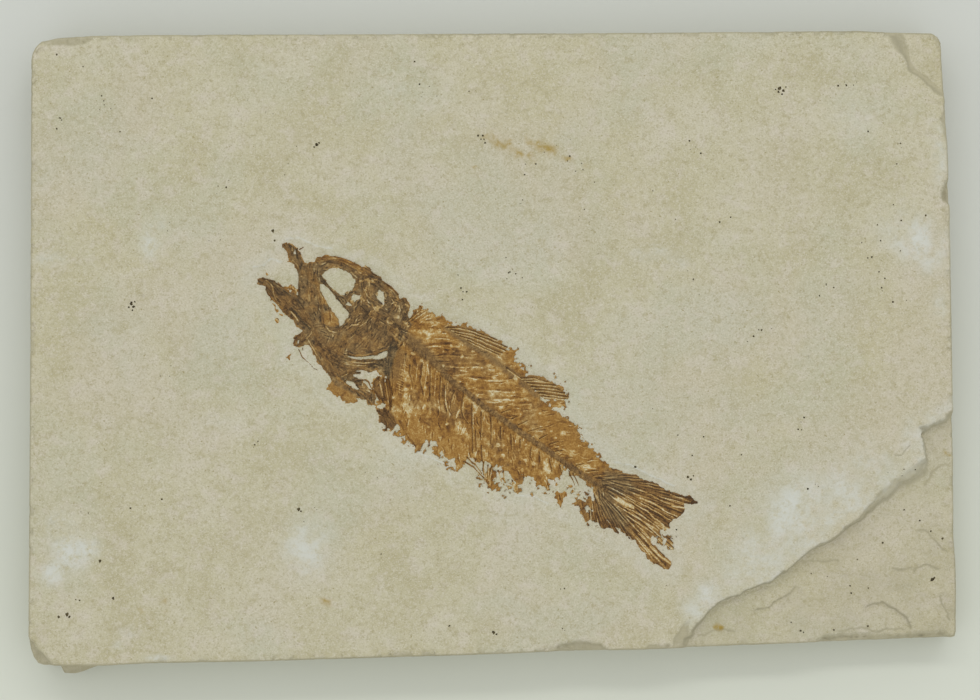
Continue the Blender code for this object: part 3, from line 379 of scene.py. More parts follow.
# Bones: path, width at its start and end, height, tone, greyness. The near-black bar under the jaw
# is painted shadow.
HEAD_BONES = [
    ([(-24.6, 1.5), (-23.4, 1.3), (-22.2, 0.5), (-20.8, 0.2),
     (-19.6, -0.6)], 0.9, 0.8, 0.3, 0.72, 0.3),
    ([(-22.6, 2.1), (-20.4, 0.5), (-19.4, 0.6)], 0.5, 0.5, 0.3, 0.8, 0.4),
    ([(-21.8, 3.1), (-22.1, 2.4)], 0.15, 0.3, 0.25, 0.75, 0.2),
    ([(-20.4, 0.6), (-19.9, -0.8), (-17.6, -4.2)], 0.4, 0.5, 0.4, 0.88, 0.8),
    ([(-19.2, 1.4), (-18.4, 0.2), (-16, -2.8), (-14.4, -4.6)], 1, 1.3, 0.45, 0.78, 0.3),
    ([(-17.6, 0.4), (-16.2, -0.8), (-13, -4), (-11.8, -5.4)], 0.7, 0.7, 0.35, 0.66, 0.1),
    ([(-18.6, 2.6), (-17.6, 3.8), (-16.2, 4.6), (-14.4, 5.2),
     (-10.4, 5.7)], 0.9, 1.2, 0.4, 0.64, 0),
    ([(-17.2, 3.4), (-15.4, 4.4), (-13.2, 4.6), (-11.4, 4.4)], 0.5, 0.5, 0.3, 0.8, 0.3),
    ([(-10.8, 5.4), (-8.3, 5.7)], 1.4, 1.2, 0.45, 0.9, 0.4),
    ([(-11.2, 3.9), (-10.6, 2.9), (-10.8, 1.9)], 0.8, 0.5, 0.3, 0.68, 0.1),
    ([(-10.4, 4.2), (-9.2, 3), (-8.4, 1.6)], 0.9, 0.8, 0.35, 0.8, 0.3),
    ([(-7.6, 6), (-6, 5.95), (-4.3, 5.7)], 0.25, 0.25, 0.35, 0.95, 0.4),
    ([(-7.8, 5.2), (-6.4, 5.2), (-4.8, 4.9), (-3.4, 5)], 0.5, 0.5, 0.3, 0.76, 0.2),
    ([(-3.2, 5.5), (-2.4, 5), (-1.6, 4.2), (-1.2, 3.2), (-1, 2)], 0.7, 0.5, 0.4, 0.88, 0.4),
    ([(-4.6, 4.6), (-3.8, 3.4), (-3.6, 2.2), (-4.2, 1.2)], 0.5, 0.6, 0.3, 0.8, 0.3),
    ([(-8.2, 2.6), (-6.6, 2.3), (-2.8, 2), (-0.6, 1.6)], 0.6, 0.7, 0.35, 0.78, 0.4),
    ([(-8.6, 1), (-6.6, 0.6), (-4.4, 0.8), (-2, 0.8), (0.8, 0.6)], 0.7, 0.9, 0.35, 0.74, 0.5),
    ([(-16.8, 0.8), (-9.2, -1.5)], 0.22, 0.3, 0.3, 0.97, 0.5),
    ([(-8.6, 1.2), (-8.2, -0.8), (-8.8, -5), (-8.4, -6.8)], 0.8, 0.9, 0.35, 0.78, 0.4),
    ([(-6.6, 0.6), (-6.4, -1.6), (-6.8, -4), (-7.4, -6.4), (-7, -7.4)], 0.5, 0.6, 0.35, 0.85, 0.4),
    ([(-9, -4.6), (-10, -5.6), (-11.6, -6), (-12.6, -6.8)], 0.7, 0.7, 0.3, 0.72, 0.3),
    ([(-4.8, 0), (-4.4, -2.6), (-4.8, -5.4)], 1.4, 1.2, 0.2, 0.74, 0.4),
    ([(-2.8, 0), (-2.2, -1.6), (-2, -3)], 1.2, 1, 0.2, 0.76, 0.5),
    ([(-24.4, -5.1), (-22.6, -4.7), (-20.4, -4.8), (-18, -4.7),
     (-16.2, -5.2)], 0.5, 0.7, 0.4, 0.88, 0.6),
    ([(-24.6, -5.8), (-23.6, -5.4), (-22.6, -5.6)], 0.5, 0.4, 0.35, 0.9, 0.6),
    ([(-22.8, -5.9), (-20.4, -6.3), (-16.4, -7.4)], 0.6, 0.7, 0.35, 0.74, 0.2),
    ([(-21.6, -5.4), (-14.6, -6.4)], 0.6, 0.8, 0.3, 0.8, 0.4),
    ([(-22.4, -6.6), (-18.4, -7.6)], 0.3, 0.3, 0.25, 0.6, 0),
    # Painted shadow: a near-black bar along the jaw's lower edge, where only shade falls
    ([(-17.5, -6.3), (-15, -7.1), (-12.8, -7.5)], 0.45, 0.3, 0.4, 0.98, 0.9),
    ([(-14.8, -5.8), (-13.2, -6.6), (-12.2, -7.8), (-12.4, -9)], 0.9, 0.9, 0.35, 0.74, 0.3),
    ([(-13.9, -9.3), (-14.1, -10.2), (-13.6, -11)], 0.5, 0.4, 0.3, 0.7, 0.1),
    ([(-13, -9.2), (-12.9, -10.2), (-13.2, -10.9)], 0.4, 0.3, 0.3, 0.75, 0.1),
]
THROAT_BONES = [
    ([(-5.5, -7.2), (-4, -6.5), (-3, -5.8), (-2, -4.8), (-0.6, -2.9)], 0.5, 0.35, 0.35, 0.55, 0),
    ([(-7.5, -8.2), (-6, -8.1), (-4.5, -7.6), (-3, -6.9),
     (-0.1, -4.7)], 0.35, 0.25, 0.3, 0.82, 0.3),
    ([(-7.8, -8.7), (-6, -8.7), (-4, -7.9), (-2, -6.6), (-0.6, -5.4)], 0.3, 0.2, 0.3, 0.82, 0.3),
    ([(-7.6, -9.2), (-5.6, -9.1), (-3.8, -8.4), (-0.9, -6.1)], 0.35, 0.2, 0.3, 0.78, 0.2),
    ([(-7, -9.8), (-5.2, -9.6), (-3.4, -8.8), (-2, -7.6)], 0.3, 0.2, 0.25, 0.76, 0.2),
    ([(-11.4, -8.2), (-9.4, -9.6), (-7.2, -10.4), (-4.6, -10.8)], 0.7, 0.6, 0.3, 0.74, 0.2),
    ([(-11.6, -9.4), (-8, -11.1), (-5.6, -11.7)], 0.4, 0.35, 0.25, 0.66, 0.1),
    ([(-12.2, -7.4), (-10, -8.4), (-7.6, -8.9)], 0.8, 0.6, 0.3, 0.76, 0.3),
    ([(-12.7, -11.3), (-11.6, -12), (-8.8, -12.5), (-8, -12.4)], 0.18, 0.12, 0.2, 0.9, 0.4),
    ([(-12.3, -10.8), (-12, -11.1)], 0.2, 0.12, 0.2, 0.9, 0.4),
    ([(-2.3, -10.2), (0, -10.8), (1.5, -10.9), (2.4, -11.2)], 0.3, 0.25, 0.25, 0.7, 0.1),
    ([(-1.5, -9.8), (-0.6, -9.1), (0, -9.1), (0.8, -9.6), (2, -9.9),
     (3.2, -10.5)], 0.25, 0.25, 0.3, 0.8, 0.2),
    ([(-1, -11.5), (0.5, -11.3), (2, -11.6), (2.6, -12)], 0.35, 0.3, 0.2, 0.6, 0),
    ([(-2.1, -8.7), (-3, -9.4), (-3.2, -10.2), (-3.2, -11.6)], 0.5, 0.3, 0.35, 0.86, 0.4),
    ([(-0.9, -6.3), (-3.9, -9.9), (-4.5, -11.2)], 0.35, 0.3, 0.4, 0.88, 0.4),
    ([(-3.3, -9.6), (-4.6, -11.8)], 0.25, 0.2, 0.3, 0.85, 0.3),
    ([(-6, -11.2), (-4.4, -11.6), (-2.4, -11.6), (-0.8, -11.8)], 0.5, 0.4, 0.2, 0.58, 0),
    ([(0.2, -0.6), (0.5, -2.4), (1, -4), (2.3, -6.6)], 0.6, 0.8, 0.45, 0.9, 0.9),
    ([(-0.7, -5.6), (1, -5.2)], 0.6, 0.5, 0.4, 0.88, 0.8),
    ([(1, -7.4), (0.8, -8.4), (1.4, -9.5), (4.2, -10.5)], 0.25, 0.25, 0.35, 0.9, 0.4),
    ([(1.6, -7.2), (4, -9.9)], 0.25, 0.25, 0.3, 0.86, 0.3),
    ([(2, -7), (3.2, -8), (5.6, -10.8)], 0.25, 0.25, 0.35, 0.9, 0.3),
    ([(2.6, -6.9), (3.8, -8), (4.8, -9.2), (5.5, -10.3)], 0.25, 0.2, 0.35, 0.88, 0.3),
    ([(4, -12.2), (5.4, -12.2), (6.6, -13), (7, -14)], 0.6, 0.4, 0.35, 0.9, 0.4),
    ([(4.6, -11.2), (7.4, -12.2)], 0.4, 0.4, 0.3, 0.85, 0.3),
    ([(8, -11.4), (11, -12.9), (12.6, -13.4)], 0.5, 0.3, 0.2, 0.66, 0.1),
]

BACKBONE = [
    (-2, 0.9), (4, -0.1), (8, -0.3), (10, -0.9), (18, -1.4), (40, -1.35), (42.6, -1.1),
]
VERTEBRA = 0.95
RIBS = [
    [(2.4, -1.6), (3, -3), (4, -4.4)], [(4, -2.8), (4.8, -4), (6, -5)],
    [(5.7, -1.6), (6.9, -4), (8, -5)], [(7, -1.2), (10.1, -5.7)], [(9.4, -1.6), (11.4, -4.8)],
    [(10.8, -2.4), (11.6, -3.8), (13.5, -5.7)], [(12.6, -2.1), (13, -3.8), (13.7, -4.9)],
    [(14.2, -1.8), (15.1, -3.8), (16, -4.7), (17.6, -5.3)], [(16.2, -2.2), (21, -8.8)],
    [(18.2, -2.4), (19.8, -4.6), (20.8, -6.4)], [(19.2, -5.4), (21.3, -8.2)],
    [(20, -2.1), (22, -4.8), (22.5, -5.8)], [(21.5, -7), (24.6, -10.9)],
    [(22.3, -2.6), (23.3, -4.1)], [(24.4, -2.6), (25.9, -4.6)], [(26.2, -2.4), (27, -3.6)],
    [(28.4, -2.4), (29.3, -4)], [(30, -2.3), (31, -3.5)], [(32, -2.3), (33.6, -3.8)],
    [(34, -2.2), (35.1, -3.1)], [(35.8, -2.1), (38.2, -3.6)], [(36.6, -2), (38.6, -3.2)],
]
SPINES = [
    [(21, -0.5), (22, 0.8)], [(23, -0.4), (23.6, 0.5)], [(24.5, -0.6), (25.3, 0.8)],
    [(26.5, -0.6), (28, 1.3)], [(28.7, -0.5), (29.4, 0.8)], [(30.6, -0.4), (31.5, 0.9)],
    [(32.2, -0.6), (33, 0.1)], [(34.2, -0.6), (35, 0.1)], [(36.3, -0.6), (37.2, 0.3)],
    [(38.2, -0.5), (39.8, 0.8)], [(39.6, -0.4), (41.2, 1)], [(0, 3.4), (0.9, 6)],
    [(-0.6, 3), (0.2, 5.6)],
]
# Slanting rods under the back that carry the fins' rays
FIN_CARRIERS = [
    [(3.4, 0.8), (5.4, 2.4), (7.6, 3.6)], [(4.4, 1.6), (6.8, 3.6), (9.4, 5)],
    [(6, 0.8), (8.8, 2.8), (11.8, 4.4)], [(8.6, 0.6), (11, 2), (15.6, 5.2)],
    [(11.6, 0.4), (16, 2.8), (18.6, 4.6)], [(14.6, 0.2), (17, 1.4), (19.6, 3), (21.6, 4.6)],
    [(18, 0.4), (20.4, 2), (22.8, 4)], [(21, 1.4), (23, 2.8), (24.8, 4.4)],
]
FIN_RAYS = [
    [(5.6, 6), (6.8, 6.9), (8.5, 7.7), (13.5, 9)], [(6.2, 6), (9.2, 7.4), (13, 8.4), (15.6, 8.9)],
    [(7, 6), (9, 6.8), (11, 7.4), (15.6, 8.3)], [(8, 6), (10, 6.6), (14, 7.3), (15.4, 7.7)],
    [(9.6, 6.1), (15, 7.1)], [(20.4, 6.1), (22, 7.3), (23.8, 7.9)],
    [(21, 6.1), (22.6, 7.2), (24.4, 8.2)], [(21.7, 6), (25.8, 8.4)],
    [(22.6, 5.9), (25.8, 7.8), (26.8, 8.1)], [(23.4, 5.8), (25, 6.8), (27.8, 8.2)],
    [(24.2, 5.7), (28.6, 8)], [(25.1, 5.7), (28.8, 7.7)],
    [(20.6, -9.9), (21.6, -10.2), (22.5, -10.2), (24.2, -10.8)],
    [(20.6, -10.8), (22.3, -10.7), (24.8, -11.2), (26, -11.6)], [(22, -9.4), (22.4, -10)],
    [(23.4, -9.1), (24, -10), (25.2, -11.3)], [(24.2, -9), (25.6, -10.9)],
    [(24.9, -8.9), (25.7, -10.7), (26.2, -11.4)], [(26.2, -8.8), (27.7, -10.1)],
    [(26.9, -8.4), (28.1, -9.7)], [(29, -8.8), (30.4, -10)], [(17.5, 6.1), (20.2, 6.1)],
]
# Pale slits between bones: path and width. One under the jaw is a painted highlight.
PALE_SLITS = [
    ([(47, 1.9), (48.6, 2.4)], 0.2), ([(48, 1), (50.6, 1.6), (53, 1.6), (55, 2.1)], 0.3),
    ([(48, 0.3), (54.5, 0.9)], 0.22),
    ([(46, -0.3), (49, -0.3), (50.5, -0.1), (52, -0.4), (54, -0.4)], 0.24),
    ([(46.5, -1.8), (49, -1.4), (52, -1.2)], 0.2), ([(45.2, -2.3), (53.7, -1.7)], 0.24),
    ([(48, -2.7), (53, -2.6)], 0.2), ([(50, -3), (52, -3.2), (54, -3.7)], 0.24),
    ([(51.3, -4), (53.5, -4.3)], 0.2), ([(53, -5), (57, -5.8)], 0.24),
    ([(52.6, -5.6), (54.5, -6)], 0.14), ([(54.2, -4.7), (56.2, -5), (58.6, -5.1)], 0.4),
    ([(44.9, -1.5), (48.2, -1)], 0.7), ([(50.4, -4.5), (55.4, -5.9)], 0.18),
    ([(53.2, 2.9), (55.4, 4)], 0.34), ([(50.2, 3), (52.4, 3.5), (54.6, 4.2)], 0.14),
    ([(49, 2.4), (51.4, 2.7), (54, 3.2)], 0.14), ([(52, 4.4), (55.4, 5.3)], 0.12),
    ([(-5, -8.4), (-3, -7.4), (-1, -5.8)], 0.2), ([(-5.2, -9), (-3.4, -8.2), (-1.6, -6.8)], 0.16),
    ([(-23.8, -5), (-22.4, -5.2), (-21.4, -6.2), (-20.4, -6.8)], 0.14),
    # Painted highlight: the first slit below, under the jaw's shadow bar
    ([(-17.3, -6.9), (-15.4, -7.5)], 0.3), ([(-12.6, -9), (-9.6, -10.4)], 0.2),
    ([(-8.8, 1.4), (-8.4, 0.6)], 0.2), ([(-7, 1.8), (-5.7, 1.2)], 0.18),
    ([(-7.6, -2.9), (-6.9, -2.2)], 0.3), ([(-6.4, -2.2), (-6.1, -1.2)], 0.14),
    ([(-9.6, 3.1), (-8.4, 2.5), (-7.4, 2.4)], 0.14),
    ([(-4.8, 4.5), (-4.2, 4.2), (-4.4, 3.7)], 0.2), ([(-15.6, 3.1), (-15, 3.7)], 0.2),
    ([(-19, -3.2), (-18.2, -4.1)], 0.12), ([(-17, -2.4), (-15.8, -3.8)], 0.12),
    ([(-11.2, -5.6), (-10.2, -5.9), (-9.2, -5.4)], 0.24), ([(-3.6, -9.9), (-4.2, -11)], 0.2),
    ([(2.4, -7.6), (4.8, -10.2)], 0.16), ([(1.4, -8), (3.4, -9.8)], 0.2),
    ([(4.2, -12.8), (4.8, -12.6)], 0.16), ([(2.4, -2), (3.2, -3.4), (4.2, -4.6)], 0.14),
    ([(5, -2), (5.6, -3.2), (6.4, -4.4)], 0.12), ([(6.6, -1.6), (8, -4.2)], 0.14),
    ([(8.4, -1.6), (10.4, -4.8)], 0.12), ([(11.2, -2.8), (12.2, -4.2), (13.2, -5.2)], 0.22),
    ([(13.2, -2.6), (13.8, -4.2)], 0.14), ([(14.8, -2.6), (15.6, -4)], 0.14),
    ([(13, 1), (14.2, 1.4), (15, 2.1)], 0.16), ([(15, -4.2), (15.4, -5.7)], 0.36),
    ([(17.7, -6.2), (17.8, -6.9), (17.5, -7.5)], 0.34),
    ([(11.8, 2.4), (12.1, 1.8), (11.5, 1.2)], 0.2), ([(4.8, 3), (6, 3.9), (7, 4.4)], 0.18),
    ([(1, 4.2), (2, 6)], 0.16), ([(0.3, 4), (1.2, 6.2)], 0.16), ([(17, -3), (19, -6)], 0.12),
    ([(24, -5.2), (23.4, -5.9)], 0.22), ([(21.6, -9.8), (23.8, -10.2)], 0.26),
    ([(21.2, -10.5), (22.6, -10.5), (24, -10.9)], 0.16), ([(24.2, -9.8), (25.4, -11.1)], 0.26),
    ([(37.2, -0.4), (39.4, 0.8)], 0.2), ([(38.6, -2.6), (40.4, -3)], 0.2),
    ([(40.8, -2.4), (42.2, -3), (43.4, -3.7)], 0.14),
]
# Small pale spots: place and radius
PALE_SPOTS = [
    ((6.3, 4), 0.2), ((9.4, 5.1), 0.2), ((11.2, 5), 0.25), ((7.8, 3.7), 0.25), ((19.7, 5.5), 0.5),
    ((8.5, 0.2), 0.3), ((8.3, -0.6), 0.3), ((6.1, -0.9), 0.3), ((12, -6), 0.35),
    ((29.6, 1.6), 0.2), ((30.8, 1.2), 0.2), ((26.9, -1.2), 0.2), ((27.4, -2.7), 0.25),
    ((23.7, -5.4), 0.3), ((20.6, -6.2), 0.3), ((28.8, -4.8), 0.4), ((38, 0.4), 0.4),
    ((2.7, 3.2), 0.45), ((3.5, 4), 0.3), ((0.2, 5), 0.2), ((-2.2, 2.6), 0.2), ((-9.7, 1.3), 0.3),
    ((-7.5, -7.9), 0.2), ((-13.5, -7.3), 0.2), ((-16.4, -7.6), 0.2), ((5.2, -1.3), 0.4),
    ((3.4, -1), 0.3), ((7, -8.8), 0.5), ((8.6, -9.8), 0.4), ((5.8, -6.6), 0.4),
    ((32.9, -4.2), 0.4), ((30.2, -4.6), 0.3), ((31.6, -3.4), 0.2), ((38.9, 1.2), 0.2),
    ((14.2, 3.6), 0.2), ((22.6, 3.2), 0.2), ((24, 1.8), 0.2), ((18.2, 1.2), 0.2), ((26.6, 3), 0.2),
    ((-17.8, 3), 0.2), ((-18.4, 1.9), 0.18), ((28.4, 5.9), 0.4), ((31.4, 2.5), 0.45),
    ((34.6, 0.9), 0.35), ((34.5, 0.4), 0.35), ((34.9, 2.2), 0.22), ((16.8, 3.4), 0.4),
    ((25.5, -6.5), 0.4), ((6.4, -7.5), 0.6), ((8, -9), 0.6), ((32.4, -4.1), 0.5),
    ((33.4, -4), 0.4), ((4.9, 4.6), 0.3), ((2.2, 2.6), 0.3), ((10.4, 3.2), 0.3),
    ((7.2, 2.2), 0.25), ((14.8, -7.4), 0.3), ((22, -7.6), 0.25), ((4.8, -9), 0.3),
    ((12.4, -9.6), 0.25), ((29.4, -6.4), 0.3),
]
DARK_DOTS = [((33.3, 0.65), 0.12), ((37.8, 1.75), 0.12), ((46.5, 5.6), 0.2), ((30.6, -5.6), 0.1)]
SKIN_TICKS = [(3.4, -3.4), (3.7, -4.2), (4.0, -5.0), (4.3, -5.8), (4.6, -6.5), (4.9, -7.2)]
TAIL_ROOT = (38.6, -1.0)  # where the tail's rays would meet
# Fine hairs: count, span in u and v, shortest and longest, strength, how wild they lie
BODY_HAIRS = (420, (-1.0, 42.0, -12.0, 7.0), (0.8, 2.6), 0.35, 0.2)
TAIL_HAIRS = (420, (42.0, 59.0, -6.8, 6.4), (2.0, 6.0), 0.42, 0.02)
HEAD_HAIRS = (520, (-25.0, 1.0, -12.0, 6.5), (0.6, 2.2), 0.48, 0.2)
EVERYWHERE = (slice(None), slice(None))

# Colours, as seen, from 0 to 255
STONE_COLOURS = [(0.38, (180, 174, 142)), (0.5, (188, 183, 154)), (0.62, (194, 189, 165))]
# Khaki, pinkish and greenish areas: cell, colour, strength
STONE_AREAS = [
    (34.0, (186, 179, 145), 0.5), (23.0, (192, 183, 164), 0.45), (17.0, (181, 184, 164), 0.4),
]
# Chalky and khaki spots and dark grains: cell, where the noise starts and ends, colour, strength
STONE_SPOTS = [
    (3.0, 0.5, 0.68, (199, 192, 176), 0.6), (2.6, 0.52, 0.7, (172, 165, 130), 0.55),
    (0.9, 0.48, 0.68, (199, 194, 172), 0.55), (0.8, 0.52, 0.7, (163, 155, 120), 0.6),
    (0.3, 0.48, 0.66, (163, 157, 126), 0.6), (0.26, 0.5, 0.68, (208, 204, 186), 0.6),
    (0.6, 0.65, 0.73, (142, 130, 84), 0.7),
]
# Darker colours of the bed's layers, also used as painted shade on breaks and the rim
LAYER_AND_SHADE_COLOURS = [(0.35, (148, 143, 118)), (0.62, (172, 166, 138))]
BRUISE_COLOUR = (203, 206, 198)
RUST_COLOUR = (158, 135, 66)
GRAIN_COLOURS = [(0.35, (44, 38, 22)), (0.65, (88, 78, 48))]
FLOOR_COLOURS = [(0.3, (209, 213, 200)), (0.7, (211, 215, 202))]
# Painted shade: the floor is darker towards the top of the view
SHADED_FLOOR_COLOUR = (204, 207, 200)
FISH_COLOURS = [
    (0.0, (203, 194, 162)), (0.12, (190, 169, 119)), (0.25, (174, 142, 84)), (0.4, (157, 118, 58)),
    (0.55, (140, 101, 45)), (0.7, (122, 85, 38)), (0.85, (102, 68, 29)), (1.0, (70, 46, 19)),
]
GREY_COLOURS = [
    (0.0, (203, 196, 168)), (0.12, (184, 171, 133)), (0.25, (165, 147, 106)), (0.4, (146, 124, 83)),
    (0.55, (128, 107, 71)), (0.7, (110, 91, 59)), (0.85, (92, 76, 49)), (1.0, (62, 51, 34)),
]

# The camera looks straight down. Its picture is as wide as this at the height of the face
VIEW_WIDTH = 163.33
VIEW_HEIGHT_ABOVE = 430.0
VIEW_MIDDLE = (-0.4, 0.17)

# The stage, in metres
FLOOR_REACH = 1.5
ROOM_STRENGTH = 0.87
WINDOW_SIZE = (1.2, 0.14)
WINDOW_POWER = 2.7
WINDOW_PLACE = (0.0, 0.74, 0.95)


# Drawing on grids of points
def smooth(low, high, value):
    """0 below low, 1 above high and a soft step between. With low above high it falls instead."""
    share = np.clip((value - low) / (high - low), 0, 1)
    return share * share * (3 - 2 * share)


def noise(x, y, cell, seed):
    """Soft noise from -1 to 1 whose lumps are about one cell across."""
    size = 256
    table = np.random.default_rng(seed).uniform(-1, 1, (size, size))
    x, y = x / cell + 37.3, y / cell + 91.7
    left, low = np.floor(x).astype(int), np.floor(y).astype(int)
    x, y = smooth(0, 1, x - left), smooth(0, 1, y - low)
    left, low = left % size, low % size
    right, high = (left + 1) % size, (low + 1) % size
    lower = table[left, low] * (1 - x) + table[right, low] * x
    upper = table[left, high] * (1 - x) + table[right, high] * x
    return lower * (1 - y) + upper * y


def layered_noise(x, y, cell, seed, layers=3):
    """Noise with finer and weaker layers on top."""
    return sum(noise(x, y, cell / 2**k, seed + k) / 1.6**k for k in range(layers)) / 1.6


def depth_inside(x, y, outline):
    """How far each point lies inside the outline. Outside it is negative."""
    nearest = np.full(x.shape, np.inf)
    inside = np.zeros(x.shape, bool)
    for (ax, ay), (bx, by) in zip(outline, outline[1:] + outline[:1]):
        dx, dy = bx - ax, by - ay
        share = np.clip(((x - ax) * dx + (y - ay) * dy) / (dx * dx + dy * dy), 0, 1)
        nearest = np.minimum(nearest, (x - ax - share * dx) ** 2 + (y - ay - share * dy) ** 2)
        if dy:
            inside ^= ((ay > y) != (by > y)) & (x < ax + (y - ay) * dx / dy)
    return np.where(inside, 1, -1) * np.sqrt(nearest)


def beside_path(x, y, path):
    """For each point its distance from the path, the share of the path's length at the nearest
    place, and how far it lies to the left of the path there."""
    lengths = [math.dist(a, b) for a, b in zip(path, path[1:])]
    nearest = np.full(x.shape, np.inf)
    along = np.zeros(x.shape)
    left = np.zeros(x.shape)
    passed = 0.0
    for (ax, ay), (bx, by), length in zip(path, path[1:], lengths):
        dx, dy = (bx - ax) / length, (by - ay) / length
        reach = np.clip((x - ax) * dx + (y - ay) * dy, 0, length)
        distance = np.hypot(x - ax - reach * dx, y - ay - reach * dy)
        closer = distance < nearest
        nearest = np.where(closer, distance, nearest)
        along = np.where(closer, (passed + reach) / sum(lengths), along)
        left = np.where(closer, (y - ay) * dx - (x - ax) * dy, left)
        passed += length
    return nearest, along, left


def path_length(path):
    return sum(math.dist(a, b) for a, b in zip(path, path[1:]))


def moved(path, across, up):
    return [(u + across, v + up) for u, v in path]


def dome(distance, half):
    """The cross-section of a rounded bar: 1 in the middle, 0 from half its width on."""
    return np.sqrt(np.clip(1 - (distance / half) ** 2, 0, 1))


def to_slab(u, v):
    """From the fish's frame to the slab's."""
    cos, sin = math.cos(FISH_TILT), math.sin(FISH_TILT)
    return NECK[0] + u * cos + v * sin, NECK[1] - u * sin + v * cos


def to_fish(x, y):
    """From the slab's frame to the fish's."""
    cos, sin = math.cos(FISH_TILT), math.sin(FISH_TILT)
    x, y = x - NECK[0], y - NECK[1]
    return x * cos - y * sin, x * sin + y * cos


# The stone's shape
def break_share(x, y, at_face, at_floor, corner):
    """0 on the face, 1 on the floor of a break, and the share of the way down on its wall."""
    beyond = [(corner[0], at_face[-1][1]), corner, (at_face[0][0], corner[1])]
    from_face = depth_inside(x, y, at_face + beyond)
    beyond = [(corner[0], at_floor[-1][1]), corner, (at_floor[0][0], corner[1])]
    from_floor = depth_inside(x, y, at_floor + beyond)
    wall = np.maximum(from_face - from_floor, 1e-6)
    return np.where(from_face <= 0, 0.0, np.where(from_floor >= 0, 1.0, from_face / wall))


def terrace(x, y, path, drop, reach):
    """A thin layer of stone that ends along a path: it drops on the right and rises again. It also
    gives a line along the step, where shade is painted.
    """
    distance, along, left = beside_path(x, y, path)
    ends = smooth(0, 0.12, along) * smooth(1, 0.88, along)
    step = drop * ends * smooth(0.06, -0.1, left) * smooth(reach, 0.2, distance)
    return step, ends * smooth(0.3, 0.05, distance)


